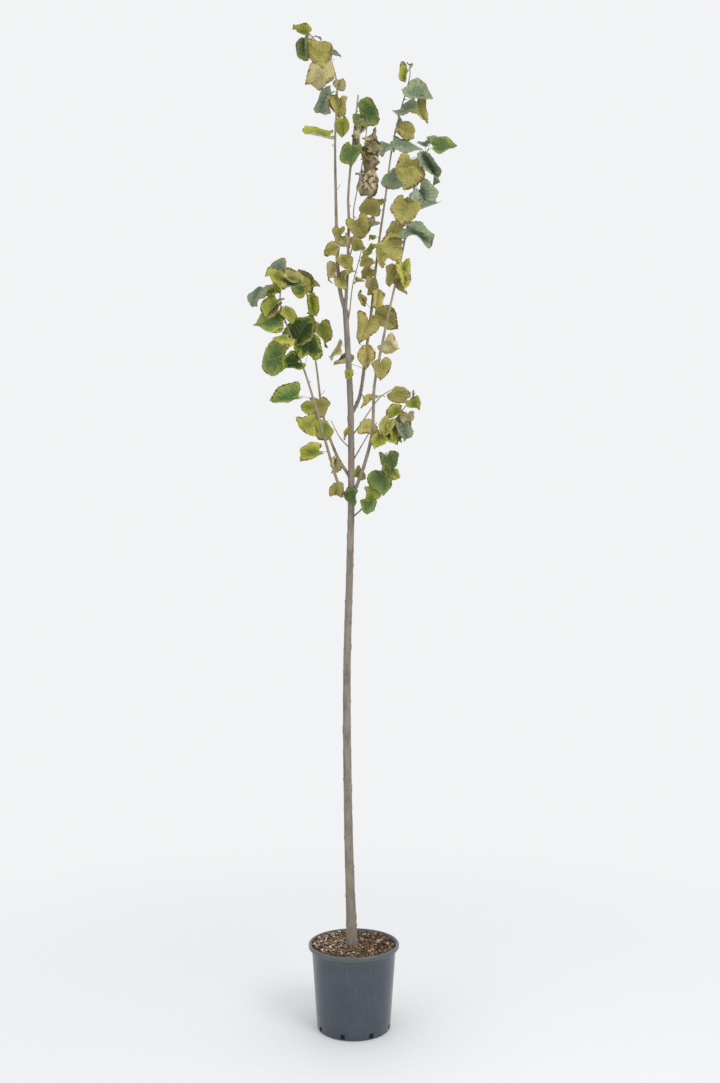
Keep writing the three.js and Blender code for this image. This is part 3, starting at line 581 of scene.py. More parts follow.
def leaf_tissue(name, colours, limits, vein, roughness, felt, rise):
    """Linden leaf tissue, quilted between its veins. It gives the eye a soft waxy gloss above and a white
    felt of hairs below, pale veins that rise towards the margin, and green that lasts longest beside them
    while the margin yellows and browns. colours run outwards and change at limits, in shares of the way to
    the margin. rise is the depth of the quilting in mm."""
    material, tree = bare_material(name)
    place = add_node(tree, "TexCoord").outputs["Object"]
    blade = add_node(tree, "Attribute", attribute_name="blade").outputs["Vector"]
    parts = add_node(tree, "SeparateXYZ", {"Vector": blade}).outputs
    aside = add_node(tree, "Math", {0: parts["X"]}, operation="ABSOLUTE")
    climb = add_node(tree, "Math", {0: aside, 1: -VEIN_CLIMB, 2: parts["Y"]}, operation="MULTIPLY_ADD")
    off = add_node(tree, "Math", {0: climb, 1: VEIN_SPACING / 2}, operation="PINGPONG")
    drawn = {"To Min": 1.0, "To Max": 0.0}
    side_vein = add_node(tree, "MapRange", {"Value": off, "From Min": 0.004, "From Max": 0.016} | drawn)
    midrib = add_node(tree, "MapRange", {"Value": aside, "From Min": 0.008, "From Max": 0.02} | drawn)
    veins = add_node(tree, "Math", {0: side_vein, 1: midrib}, operation="MAXIMUM")
    patches = add_node(
        tree, "TexNoise", {"Vector": place, "Scale": 1 / (26 * MM), "Detail": 5.0, "Roughness": 0.65}
    )
    away = add_node(tree, "Math", {0: off, 1: AGE_AWAY, 2: parts["Z"]}, operation="MULTIPLY_ADD")
    worn = add_node(tree, "Math", {0: patches, 1: AGE_PATCHES, 2: away}, operation="MULTIPLY_ADD")
    age = add_node(tree, "Math", {0: worn, 1: AGE_OFFSET}, operation="SUBTRACT")
    stops = [(0.0, shaded(colours[0], 0.92))]
    for inner, outer, limit in zip(colours, colours[1:], limits):
        stops += [(limit - SOFT_EDGE, inner), (limit, outer)]
    ripe = add_node(tree, "ValToRGB", {"Fac": age}, stops)
    tone = add_node(tree, "Attribute", attribute_name="leaf_tone").outputs["Fac"]
    bright = add_node(tree, "MapRange", {"Value": tone, "To Min": 0.82, "To Max": 1.14})
    own = add_node(tree, "HueSaturation", {"Value": bright, "Color": ripe})
    faint = add_node(tree, "Math", {0: veins, 1: VEIN_STRENGTH}, operation="MULTIPLY")
    tint = add_node(tree, "Mix", {"Factor": faint, "A": own, "B": (*vein, 1)}, data_type="RGBA")
    crumb = add_node(tree, "TexNoise", {"Vector": place, "Scale": 1 / (9 * MM), "Detail": 4.0})
    quilt = add_node(tree, "Math", {0: off, 1: PILLOW, 2: crumb}, operation="MULTIPLY_ADD")
    relief = add_node(tree, "Bump", {"Height": quilt, "Distance": rise * MM})
    finish = {"Base Color": tint, "Roughness": roughness, "IOR": 1.42, "Normal": relief}
    wax = {"Specular IOR Level": 0.25, "Sheen Weight": felt}
    shader = add_node(tree, "BsdfPrincipled", finish | wax)
    add_node(tree, "OutputMaterial", {"Surface": shader})
    return material


def green_rind(name, colour, roughness):
    """The rind of petioles and the scales of buds. It gives the eye a slight gloss and an uneven flush."""
    material, tree = bare_material(name)
    place = add_node(tree, "TexCoord").outputs["Object"]
    patches = add_node(tree, "TexNoise", {"Vector": place, "Scale": 1 / (5 * MM), "Detail": 3.0})
    stops = [(0.3, shaded(colour, 0.78)), (0.7, shaded(colour, 1.22))]
    tint = add_node(tree, "ValToRGB", {"Fac": patches}, stops)
    relief = add_node(tree, "Bump", {"Height": patches, "Distance": 0.15 * MM})
    shader = add_node(
        tree, "BsdfPrincipled", {"Base Color": tint, "Roughness": roughness, "Normal": relief}
    )
    add_node(tree, "OutputMaterial", {"Surface": shader})
    return material


def matt_floor_paint(settings):
    """Matt paint on a wide smooth floor. Far from the plant it fades into the light behind, so that no
    horizon shows."""
    material, tree = bare_material("matt_floor_paint")
    place = add_node(tree, "TexCoord").outputs["Object"]
    away = add_node(tree, "VectorMath", {0: place}, operation="LENGTH")
    reach = {"Value": away, "From Min": 0.4, "From Max": settings.fade}
    far = add_node(tree, "MapRange", reach, interpolation_type="SMOOTHSTEP")
    speckle = add_node(tree, "TexNoise", {"Vector": place, "Scale": 1 / (30 * MM), "Detail": 4.0})
    stops = [(0.35, shaded(settings.floor_colour, 0.985)), (0.65, settings.floor_colour)]
    tint = add_node(tree, "ValToRGB", {"Fac": speckle}, stops)
    paint = add_node(tree, "BsdfPrincipled", {"Base Color": tint, "Roughness": 0.7})
    sky = {"Color": (*settings.sky_colour, 1), "Strength": settings.sky_strength}
    both = add_node(tree, "MixShader", {0: far, 1: paint, 2: add_node(tree, "Emission", sky)})
    add_node(tree, "OutputMaterial", {"Surface": both})
    return material


# Meshes.


def tube_faces(rings, sides):
    """The faces of a closed tube: its wall, then its first and its last end."""
    faces = []
    for i in range(rings - 1):
        for k in range(sides):
            a, b = i * sides + k, i * sides + (k + 1) % sides
            faces.append([a, b, b + sides, a + sides])
    faces.append(list(reversed(range(sides))))
    faces.append([(rings - 1) * sides + k for k in range(sides)])
    return faces


def only(made):
    """Selects one object and nothing else."""
    bpy.ops.object.select_all(action="DESELECT")
    made.select_set(True)
    bpy.context.view_layer.objects.active = made


def dress(made, materials, angle, nodes):
    """Gives a finished piece its materials and smooth faces, hangs it on the root and hides its solids."""
    for material in materials:
        made.data.materials.append(material)
    only(made)
    bpy.ops.object.shade_smooth_by_angle(angle=math.radians(angle))
    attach(made, "root")
    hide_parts(*nodes)


class Heap:
    """Corners and faces of one joined piece, in mm. Each face keeps the number of its material. A leaf's
    corners also keep their place on the blade, and its tone."""

    def __init__(self):
        self.corners, self.faces, self.slots, self.nodes = [], [], [], set()
        self.blade, self.tone = [], []

    def add(self, corners, faces, slots):
        first = len(self.corners)
        self.corners += corners
        self.faces += [[first + i for i in face] for face in faces]
        self.slots += slots

    def tube(self, places, radii, sides):
        """A closed tube through places, its cross-section carried along without twist."""
        corners = []
        aside = None
        for i, place in enumerate(places):
            along = (places[min(i + 1, len(places) - 1)] - places[max(i - 1, 0)]).normalized()
            aside = aside or along.orthogonal()
            aside = (aside - along * aside.dot(along)).normalized()
            across = along.cross(aside)
            for k in range(sides):
                turn = 2 * math.pi * k / sides
                corners.append(place + (aside * math.cos(turn) + across * math.sin(turn)) * radii[i])
        faces = tube_faces(len(places), sides)
        self.add(corners, faces, [0] * len(faces))

    def finish(self, name, materials, slot, angle):
        mesh = bpy.data.meshes.new(name)
        mesh.from_pydata([corner * MM for corner in self.corners], [], self.faces)
        mesh.polygons.foreach_set("material_index", self.slots)
        if self.blade:
            places = mesh.attributes.new("blade", "FLOAT_VECTOR", "POINT")
            places.data.foreach_set("vector", [number for place in self.blade for number in place])
            mesh.attributes.new("leaf_tone", "FLOAT", "POINT").data.foreach_set("value", self.tone)
        made = bpy.data.objects.new(name, mesh)
        bpy.context.scene.collection.objects.link(made)
        dress(made, materials, angle, sorted(self.nodes))


def turned(name, stations, sides):
    """A closed solid of revolution. Its first disc is drawn up through stations, pairs of radius and height
    in mm."""
    bpy.ops.object.select_all(action="DESELECT")
    radius, level = stations[0]
    bpy.ops.mesh.primitive_circle_add(
        vertices=sides, radius=radius * MM, fill_type="NGON", location=(0, 0, level * MM)
    )
    made = bpy.context.object
    made.name = made.data.name = name
    bpy.ops.object.transform_apply()
    bpy.ops.object.mode_set(mode="EDIT")
    for next_radius, next_level in stations[1:]:
        bpy.ops.mesh.extrude_region_move(
            TRANSFORM_OT_translate={"value": (0, 0, (next_level - level) * MM)}
        )
        bpy.ops.transform.resize(value=(next_radius / radius, next_radius / radius, 1))
        radius, level = next_radius, next_level
    bpy.ops.mesh.select_all(action="SELECT")
    bpy.ops.mesh.normals_make_consistent(inside=False)
    bpy.ops.object.mode_set(mode="OBJECT")
    return made


# The pot and its filling, in mm.

POT_SIDES = 128
POT_FLOOR = 4
FOOT_BEVEL = 5
BEVEL_STEPS = 3
# Heights of the rings in the plain wall, and how far under the lip the last one lies.
WALL_LEVELS = [60, 140, 220]
WALL_END = 9
LIP_DEPTH = 17
LIP_ROLL = 5.5
ROLL_STEPS = 6
# Corners of the lip, each as steps out and up: from the wall's top, from the rim's lower edge and, inside,
# from the wall where the roll ends.
LIP_FILLET = [(0.6, -3), (3, 0)]
LIP_CORNER = [(-3.5, 0.6), (-0.8, 2.2), (0, 5)]
LIP_INSIDE = [(1.2, -5), (0, -16.5)]
# The drainage slots. The first lies at a bearing in degrees, and each cutter reaches through the wall.
SLOTS = 8
FIRST_SLOT = 28
SLOT_WIDTH = 18
SLOT_HEIGHT = 18
SLOT_REACH = 24
SLOT_CORNER = 3
# A slot's lower edge over the floor, so that no face of its cutter lies in the floor's.
SLOT_SILL = 0.6


def pot_wall(sizes, level):
    """The outer radius of the pot below its lip, in mm."""
    share = level / (sizes.height / MM - LIP_DEPTH)
    return (sizes.foot_radius + (sizes.shoulder_radius - sizes.foot_radius) * share) / MM


def pot_stations(sizes):
    """The pot's outline from the underside up, over the rolled lip and down inside to the floor."""
    height, rim, wall = sizes.height / MM, sizes.rim_radius / MM, sizes.wall / MM
    under, foot = height - LIP_DEPTH, pot_wall(sizes, 0)
    shoulder, inner = pot_wall(sizes, under), pot_wall(sizes, height) - wall
    stations = [(foot - FOOT_BEVEL, 0)]
    for step in range(1, BEVEL_STEPS + 1):
        turn = math.pi / 2 * step / BEVEL_STEPS
        stations.append((foot - FOOT_BEVEL * (1 - math.sin(turn)), FOOT_BEVEL * (1 - math.cos(turn))))
    stations += [(pot_wall(sizes, level), level) for level in (*WALL_LEVELS, under - WALL_END)]
    stations += [(shoulder + out, under + up) for out, up in LIP_FILLET]
    stations += [(rim + out, under + up) for out, up in LIP_CORNER]
    top = height - LIP_ROLL
    for step in range(ROLL_STEPS + 1):
        turn = math.pi * step / ROLL_STEPS
        stations.append((rim - LIP_ROLL + LIP_ROLL * math.cos(turn), top + LIP_ROLL * math.sin(turn)))
    stations += [(inner + out, top + up) for out, up in LIP_INSIDE]
    stations += [(pot_wall(sizes, level) - wall, level) for level in (*WALL_LEVELS[::-1], POT_FLOOR)]
    return stations


class LindenPotSettings(PropertyGroup):
    height: FloatProperty(
        name="Height", description="Height of the pot over its lip", default=0.315, unit="LENGTH"
    )
    rim_radius: FloatProperty(
        name="Rim radius", description="Outer radius of the rolled lip", default=0.176, unit="LENGTH"
    )
    shoulder_radius: FloatProperty(
        name="Shoulder radius", description="Outer radius just under the lip", default=0.163, unit="LENGTH"
    )
    foot_radius: FloatProperty(
        name="Foot radius", description="Outer radius of the underside", default=0.141, unit="LENGTH"
    )
    wall: FloatProperty(name="Wall", description="Thickness of the wall", default=0.003, unit="LENGTH")
    colour: FloatVectorProperty(
        name="Colour", description="Colour of the plastic", default=linear("#3a424d"), subtype="COLOR"
    )


class LINDEN_OT_pot(Operator):
    """Turns the nursery pot and cuts its drainage slots"""

    bl_idname = "linden.pot"
    bl_label = "Nursery pot"

    def execute(self, context):
        sizes = context.scene.linden_pot
        pot = turned("nursery_pot", pot_stations(sizes), POT_SIDES)
        cutters = []
        reach, middle = pot_wall(sizes, 0) * MM, (POT_FLOOR + SLOT_SILL + SLOT_HEIGHT / 2) * MM
        for k in range(SLOTS):
            turn = math.radians(FIRST_SLOT) + 2 * math.pi * k / SLOTS
            bpy.ops.mesh.primitive_cube_add(
                size=1,
                location=(reach * math.cos(turn), reach * math.sin(turn), middle),
                rotation=(0, 0, turn),
                scale=(SLOT_REACH * MM, SLOT_WIDTH * MM, SLOT_HEIGHT * MM),
            )
            cutters.append(context.object)
        bpy.ops.object.select_all(action="DESELECT")
        for cutter in cutters:
            cutter.select_set(True)
        bpy.ops.object.join()
        cutter = context.object
        bpy.ops.object.transform_apply()
        bpy.ops.object.mode_set(mode="EDIT")
        bpy.ops.mesh.select_all(action="SELECT")
        bpy.ops.mesh.bevel(offset=SLOT_CORNER * MM, segments=BEVEL_STEPS)
        bpy.ops.object.mode_set(mode="OBJECT")
        only(pot)
        slots = pot.modifiers.new("slots", "BOOLEAN")
        slots.operation = "DIFFERENCE"
        slots.object = cutter
        slots.solver = "EXACT"
        bpy.ops.object.modifier_apply(modifier=slots.name)
        bpy.data.objects.remove(cutter)
        dress(pot, [moulded_polypropylene(sizes.colour)], 40, ["pot"])
        return {"FINISHED"}


class LindenSubstrateSettings(PropertyGroup):
    level: FloatProperty(
        name="Level", description="Height of the filling over the ground", default=0.31, unit="LENGTH"
    )
    chips: IntProperty(name="Chips", description="Number of loose bits on top", default=2600, min=1)
    fibres: IntProperty(name="Fibres", description="Number of coir fibres on top", default=170, min=1)
    seed: IntProperty(name="Seed", description="Another seed lays the bits out anew", default=77)


BED_SIDES = 96
BED_RINGS = 34
# How far the filling keeps clear of the wall and the floor.
BED_GAP = 0.5
# Its surface and its rounded edge lie this far under its level, and the loose bits make up the rest.
BED_DROP = 3
EDGE_DROP = 4
# The filling lies higher on the left than on the right.
BED_SLOPE = 0.02
# Widths and depths of the lumps in its surface.
LUMPS = [(22, 3), (7, 2)]
CHIP_COLOURS = {
    "peat_dark": "#352a21",
    "bark_brown": "#6e5a49",
    "bark_russet": "#8a6c50",
    "chip_tan": "#b49a7a",
    "chip_pale": "#ddd0bb",
}
# Up to these draws a bit takes each colour but the last, in the order of CHIP_COLOURS. More of the dry,
# pale bits are dealt to the left, as painted light that makes the left side look more brightly lit.
CHIP_LIMITS = [0.36, 0.56, 0.77, 0.965]
LEFT_LIT_BIAS = 0.22
# The share of the trunk's length at which its middle is read, near the filling.
STEM_SHARE = 0.02
# How far the middles of chips and of fibres keep from the wall, and from the middle of the trunk.
CHIPS_FROM_WALL, CHIPS_FROM_TRUNK = 6, 23
FIBRES_FROM_WALL, FIBRES_FROM_TRUNK = 12, 28
# No corner of a fibre comes nearer to the wall than this.
FIBRE_CLEAR = 3
FIBRE_RADIUS = 0.35
FIBRE_STEPS, FIBRE_SIDES = 4, 4
# A chip is a rough block with six sides round it.
CHIP_SIDES = 6
CHIP_TURNS = [2 * math.pi * k / CHIP_SIDES for k in range(CHIP_SIDES)]
CHIP_CORNERS = [(math.cos(turn), math.sin(turn), z) for z in (-1, 1) for turn in CHIP_TURNS]
CHIP_FACES = tube_faces(2, CHIP_SIDES)


def scattered(draw, reach, low, high):
    """A place on the filling, evenly spread up to reach from the middle and between two heights."""
    away, turn = reach * math.sqrt(next(draw)), 2 * math.pi * next(draw)
    place = Vector((away * math.cos(turn), away * math.sin(turn), low + (high - low) * next(draw)))
    place.z -= BED_SLOPE * place.x
    return place


class LINDEN_OT_substrate(Operator):
    """Fills the pot with composted bark and coir"""

    bl_idname = "linden.substrate"
    bl_label = "Bark substrate"

    def execute(self, context):
        settings, pot = context.scene.linden_substrate, context.scene.linden_pot
        level, foot = settings.level / MM, POT_FLOOR + BED_GAP
        edge, low_edge = (pot_wall(pot, at) - pot.wall / MM - BED_GAP for at in (level, foot))
        stations = [(low_edge, foot), (edge, level - EDGE_DROP)]
        stations += [(edge * (1 - i / BED_RINGS), level - BED_DROP) for i in range(1, BED_RINGS)]
        bed = turned("substrate_bed", stations, BED_SIDES)
        for vertex in bed.data.vertices:
            if vertex.co.z > (level - EDGE_DROP - 1) * MM:
                lumps = sum(noise.noise(vertex.co / (width * MM)) * depth for width, depth in LUMPS)
                vertex.co.z += lumps * MM - BED_SLOPE * vertex.co.x
        materials = [composted_bark(name, linear(code)) for name, code in CHIP_COLOURS.items()]
        dress(bed, materials[:1], 60, ["substrate"])

        draw = draws_from(settings.seed)
        stem = LINES["trunk"].at(STEM_SHARE)
        chips = self.chips(settings.chips, draw, edge, level, stem)
        chips.finish("bark_chips", materials, "substrate", 30)
        fibres = self.fibres(settings.fibres, draw, edge, level, stem)
        coir = composted_bark("coir_fibre", linear("#a07c50"))
        fibres.finish("coir_fibres", [coir], "substrate", 60)
        return {"FINISHED"}

    def chips(self, count, draw, edge, level, stem):
        """Loose flat bits, most of them small and up to three quarters as wide as long."""
        chips = Heap()
        chips.nodes = {"substrate"}
        for _ in range(count):
            place = scattered(draw, edge - CHIPS_FROM_WALL, level - 2, level + 2)
            if (place.xy - stem.xy).length < CHIPS_FROM_TRUNK:
                continue
            long = 2.8 + 13 * next(draw) ** 4
            half = Vector((long, long * (0.35 + 0.4 * next(draw)), 0.8 + 1.6 * next(draw))) * 0.6
            spin = Euler((0.5 * jitter(draw), 0.5 * jitter(draw), 2 * math.pi * next(draw)))
            corners = []
            for plain in CHIP_CORNERS:
                rough = Vector([1 + 0.3 * jitter(draw) for _ in range(3)])
                corner = Vector([at * size * knock for at, size, knock in zip(plain, half, rough)])
                corner.rotate(spin)
                corners.append(place + corner)
            # Painted light: the pale colours are dealt more often towards the left.
            colour = bisect.bisect(CHIP_LIMITS, next(draw) - LEFT_LIT_BIAS * place.x / edge)
            chips.add(corners, CHIP_FACES, [colour] * len(CHIP_FACES))
        return chips

    def fibres(self, count, draw, edge, level, stem):
        """Thin bent fibres that lie on the bits."""
        coir = Heap()
        coir.nodes = {"substrate"}
        for _ in range(count):
            place = scattered(draw, edge - FIBRES_FROM_WALL, level + 1, level + 4)
            if (place.xy - stem.xy).length < FIBRES_FROM_TRUNK:
                continue
            bearing, length = 360 * next(draw), 8 + 18 * next(draw)
            places = [place]
            for _ in range(FIBRE_STEPS):
                bearing += 35 * jitter(draw)
                ahead = places[-1] + heading(bearing, 14 * jitter(draw)) * length / FIBRE_STEPS
                if ahead.xy.length > edge - FIBRE_CLEAR:
                    break
                places.append(ahead)
            if len(places) > 2:
                coir.tube(places, [FIBRE_RADIUS] * len(places), FIBRE_SIDES)
        return coir


# Trunk, boughs and twigs, in mm.

# Scars on the trunk where side shoots were pruned off: height, bearing and half width.
PRUNING_SCARS = [
    (412, 20, 9), (640, 250, 8), (905, 350, 9), (1130, 190, 8), (1290, 300, 10), (1462, 10, 8),
    (1640, 230, 9), (1785, 340, 8), (1900, 200, 9), (2380, 200, 7), (2610, 250, 7),
]
# Heights of the scars that run all round the trunk, where a year's growth ended.
RING_SCARS = [1040, 1805]
# How far apart nodes lie on the trunk and on any other limb, and how far up and down one swells the bark.
TRUNK_NODES = 95
LIMB_NODES = 46
NODE_REACH = 24
# How far apart the rings of a limb's skin lie, and how far the trunk's goes on under the substrate.
RING_STEP = 4
TRUNK_SUNK = 8
# A limb is wider by a share where it leaves its carrier, and the trunk has five low ridges over its roots.
COLLAR, COLLAR_HEIGHT = 0.4, 16
ROOT_RIDGES, RIDGE_DEPTH, RIDGE_HEIGHT = 5, 1.1, 50
# Lumps stand off by a share of the radius. Both they and the ridges are drawn out along the limb.
LUMP_SHARE, LUMP_LENGTH = 0.05, 60
RIDGE_WIDTH, RIDGE_LENGTH = 4, 45
# A pruning scar has a rim and a low mound, and a ring scar is a band.
SCAR_RIM, SCAR_MOUND = 1.7, 0.5
RING_HEIGHT, RING_WIDTH = 0.9, 4
# The domes at a limb's ends stand out by a share of its radius.
DOME = 0.6
# Where a bough is thinner than this it has a shoot's bark.
SHOOT_RADIUS = 6.5
TRUNK_SIDES, BOUGH_SIDES, TWIG_SIDES, TUBE_SIDES = 48, 20, 10, 6


class LindenBarkSettings(PropertyGroup):
    relief: FloatProperty(
        name="Relief", description="Depth of the ridges in the bark", default=0.0004, unit="LENGTH"
    )
    trunk_colour: FloatVectorProperty(
        name="Trunk", description="Colour of the older bark", default=linear("#7e756a"), subtype="COLOR"
    )
    shoot_colour: FloatVectorProperty(
        name="Shoots", description="Colour of the young shoots", default=linear("#8b7f6a"), subtype="COLOR"
    )
    pore_colour: FloatVectorProperty(
        name="Pores", description="Colour of the corky pores", default=linear("#a89c89"), subtype="COLOR"
    )


def limb_seed(name):
    """A number of a limb's own."""
    return sum(map(ord, name))


def bark_swelling(name, climbed, angle, radius, nodes):
    """How far the bark stands off a plain taper: broad lumps, fine ridges, and a swelling at each node that
    is strongest on the node's side."""
    round_it = Vector((math.cos(angle), math.sin(angle), 0))
    seat = Vector((0, 0, limb_seed(name)))
    lumps = noise.noise(round_it * 0.9 + Vector((0, 0, climbed / LUMP_LENGTH)) + seat) * LUMP_SHARE * radius
    ridges = noise.noise(
        round_it * radius / RIDGE_WIDTH + Vector((0, 0, climbed / RIDGE_LENGTH)) + seat * 2
    )
    out = lumps + ridges * bpy.context.scene.linden_bark.relief / MM * min(1, radius / 8)
    for where, bearing in nodes:
        off = (climbed - where) / (2.2 + 0.15 * radius)
        if abs(off) < 3:
            side = math.cos(angle - bearing)
            out += math.exp(-off * off) * (0.05 * radius + 0.25 + max(0, side) ** 3 * (0.5 + 0.04 * radius))
    return out


def trunk_scars(level, angle, radius):
    """How far the scars stand off the trunk: a rim round each pruning scar, and a band at each ring scar."""
    out = 0.0
    for height, bearing, half in PRUNING_SCARS:
        up = (level - height) / half
        if abs(up) > 2.2:
            continue
        turn = (angle - math.radians(bearing)) % (2 * math.pi) - math.pi
        reach = math.hypot(up, turn * radius / half)
        rim, mound = math.exp(-(((reach - 0.9) / 0.42) ** 2)), math.exp(-((reach / 1.6) ** 2))
        out += SCAR_RIM * rim + SCAR_MOUND * mound
    for height in RING_SCARS:
        off = (level - height) / RING_WIDTH
        out += RING_HEIGHT * math.exp(-off * off)
    return out


def bud_places(name):
    """Distances along a limb and angles round it of its nodes, where leaves and buds sat or sit."""
    draw, line = draws_from(limb_seed(name)), LINES[name]
    reach, places, angle = 14.0, [], 0.0
    spacing = TRUNK_NODES if name == "trunk" else LIMB_NODES
    while reach < line.length - 4:
        places.append((reach, angle))
        reach += spacing * (0.8 + 0.4 * next(draw))
        angle += math.pi + 0.5 * jitter(draw)
    return places


def skin_limb(heap, name, sides, first=0, young=0):
    """A limb's bark from a share of its length to its tip, closed by a low dome at both ends. Under the
    radius young it takes the heap's second material."""
    line, nodes = LINES[name], bud_places(name)
    rings = max(4, round((1 - first) * line.length / RING_STEP))
    corners, slots = [], []
    for i in range(rings + 1):
        share = first + (1 - first) * i / rings
        climbed, along, centre = share * line.length, line.along(share), line.at(share)
        across = Vector((0, -1, 0)).cross(along).normalized()
        front = along.cross(across)
        plain = limb_radius(name, share)
        if name != "trunk":
            plain *= 1 + COLLAR * math.exp(-climbed / COLLAR_HEIGHT)
        near = [node for node in nodes if abs(node[0] - climbed) < NODE_REACH]
        for k in range(sides):
            angle = 2 * math.pi * k / sides
            radius = plain + bark_swelling(name, climbed, angle, plain, near)
            if name == "trunk":
                radius += trunk_scars(centre.z, angle, plain)
                fade = math.exp(-max(0, centre.z - SOIL_LEVEL) / RIDGE_HEIGHT)
                radius += RIDGE_DEPTH * fade * math.cos(ROOT_RIDGES * angle + 0.7)
            corners.append(centre + (across * math.cos(angle) + front * math.sin(angle)) * radius)
        if i < rings:
            slots += [int(plain < young)] * sides
    faces = tube_faces(rings + 1, sides)[:-2]
    for share, outward, start in ((first, -1, 0), (1, 1, rings * sides)):
        peak = len(corners)
        corners.append(line.at(share) + line.along(share) * limb_radius(name, share) * DOME * outward)
        for k in range(sides):
            a, b = start + k, start + (k + 1) % sides
            faces.append([a, b, peak] if outward > 0 else [b, a, peak])
        slots += [slots[0]] * sides
    heap.add(corners, faces, slots)


# The outline of a bud of size 1: how far out each ring lies, and how wide it is.
BUD_RINGS = [(-0.25, 0.35), (0.1, 0.8), (0.45, 1.0), (0.8, 0.72), (1.15, 0.36), (1.4, 0.05)]
BUD_WIDTH = 0.42


def add_bud(heap, place, out, size):
    """A small pointed bud that leans out of its twig."""
    places = [place + out * size * up for up, _ in BUD_RINGS]
    heap.tube(places, [size * BUD_WIDTH * wide for _, wide in BUD_RINGS], TUBE_SIDES)


class LINDEN_OT_limbs(Operator):
    """Grows the trunk, the leaders and the boughs with their bark"""

    bl_idname = "linden.limbs"
    bl_label = "Trunk and boughs"

    def execute(self, context):
        looks = context.scene.linden_bark
        bark = linden_bark("linden_bark", looks.trunk_colour, looks.pore_colour)
        shoot = linden_bark("shoot_bark", looks.shoot_colour, shaded(looks.pore_colour, 0.8))
        trunk, boughs = Heap(), Heap()
        trunk.nodes = {"trunk"}
        skin_limb(trunk, "trunk", TRUNK_SIDES, LINES["trunk"].share_at(SOIL_LEVEL - TRUNK_SUNK))
        trunk.finish("trunk_bark", [bark], "bark", 60)
        for name in LIMBS:
            if name.startswith(("leader", "bough")):
                skin_limb(boughs, name, BOUGH_SIDES, young=SHOOT_RADIUS)
                boughs.nodes |= {name, mass_on(name) or name}
        boughs.finish("bough_bark", [bark, shoot], "bark", 60)
        return {"FINISHED"}


# Leaves. Lengths are shares of a blade's length where nothing else is said.

# Shares of a blade's radius at which its rings lie, above and below alike.
RINGS = [0.34, 0.62, 0.84, 1]
# Steps along the margin of each half, from the petiole to the tip.
HALF_RAYS = 24
# The middle of the rings lies on the midrib, this far from the petiole.
CENTRE = 0.3
NOISE_SEED = 6
# Depth and number of the pillows between the side veins of each half.
QUILT, PILLOWS = 0.014, 6
# The share of its radius from which a blade is cupped.
CUP_START = 0.45
# Two stiff creases, each across one corner of the blade: the first bearing it may take and how far it may
# turn on, in degrees, and its distance from the middle and what may be added.
CREASE_BEARINGS = [(-30, 90), (120, 90)]
CREASE_START, CREASE_MORE = 0.16, 0.2
# Radii of a petiole in mm, from the stem to its end. It runs on into the blade for a share of its length.
PETIOLE_RADII = [1.7, 1.15, 1.0, 0.95, 0.95, 0.95, 1.05, 1.2, 0.5]
PETIOLE_RUN = 0.1
# The size of the bud over a petiole, and how far it stands off the stem and up, in mm.
BUD_SIZE, BUD_OUT, BUD_UP = 4.2, 2.2, 1.5

# Colours of the upper side from the midrib out to the dried edge, then the underside, the veins and the
# veins of the underside. limits are the shares of the way to the margin where the first three end. ruffle is
# the wave of the margin, crumple how far the blade is drawn out of shape as it dries, both in shares of its
# length, and twist its turn along the midrib and crease that across a corner, both in radians.
TINTS = {
    "deep": dict(
        colours=["#2a3d13", "#40581d", "#8d9132", "#54432a"], below="#9aa284", veins=["#5f7142", "#aeb49a"],
        limits=[0.66, 0.84, 1.02], ruffle=0.03, crumple=0.1, twist=0.25, crease=0.5,
    ),
    "green": dict(
        colours=["#4c6132", "#62743b", "#808b44", "#655633"], below="#98a28c", veins=["#7e8f68", "#abb3a0"],
        limits=[0.66, 0.9, 1.04], ruffle=0.04, crumple=0.14, twist=0.5, crease=0.9,
    ),
    "fresh": dict(
        colours=["#556f3b", "#718742", "#979f48", "#6b5c33"], below="#9aa284", veins=["#93a568", "#aeb49a"],
        limits=[0.5, 0.82, 1.02], ruffle=0.04, crumple=0.13, twist=0.4, crease=0.8,
    ),
    "lime": dict(
        colours=["#757f35", "#8d933b", "#a4a247", "#6b552e"], below="#a0a588", veins=["#a0a55f", "#b2b59e"],
        limits=[0.42, 0.78, 1.0], ruffle=0.05, crumple=0.18, twist=0.5, crease=1.1,
    ),
    "olive": dict(
        colours=["#83813f", "#938c4b", "#a3995a", "#76623a"], below="#c3b777", veins=["#b4ab70", "#b5b191"],
        limits=[0.4, 0.78, 1.02], ruffle=0.05, crumple=0.19, twist=0.5, crease=1,
    ),
    "teal": dict(
        colours=["#66775f", "#7b896d", "#939a77", "#74714c"], below="#9ca58f", veins=["#96a386", "#b0b7a4"],
        limits=[0.6, 0.88, 1.04], ruffle=0.04, crumple=0.15, twist=0.5, crease=1,
    ),
    "silver": dict(
        colours=["#93956f", "#9f9c79", "#ada583", "#887b5c"], below="#adab8f", veins=["#bebb9b", "#c2c0a8"],
        limits=[0.5, 0.82, 1.04], ruffle=0.04, crumple=0.14, twist=0.4, crease=0.8,
    ),
    "tan": dict(
        colours=["#989160", "#a69e70", "#a99b68", "#7a6744"], below="#c9ba85", veins=["#bbb184", "#b9b294"],
        limits=[0.46, 0.8, 1.02], ruffle=0.07, crumple=0.24, twist=0.8, crease=1.3,
    ),
    "yellow": dict(
        colours=["#ada45e", "#bbb06b", "#bbab64", "#7a6238"], below="#cdc283", veins=["#b9b161", "#b6b286"],
        limits=[0.4, 0.76, 0.98], ruffle=0.06, crumple=0.2, twist=0.6, crease=1.1,
    ),
    "dried": dict(
        colours=["#c8be9a", "#bbaf8a", "#9d8f68", "#54442f"], below="#c4ba98", veins=["#afa68a", "#aea58c"],
        limits=[0.5, 0.76, 0.98], ruffle=0.1, crumple=0.5, twist=1.6, crease=2.4,
    ),
}

# Limbs with bare side spurs, each with its seed.
SPURS = dict(
    bough_left_low=3, bough_left_high=9, bough_right_low=15, bough_right_high=27, leader_left=33,
    leader_right=39,
)
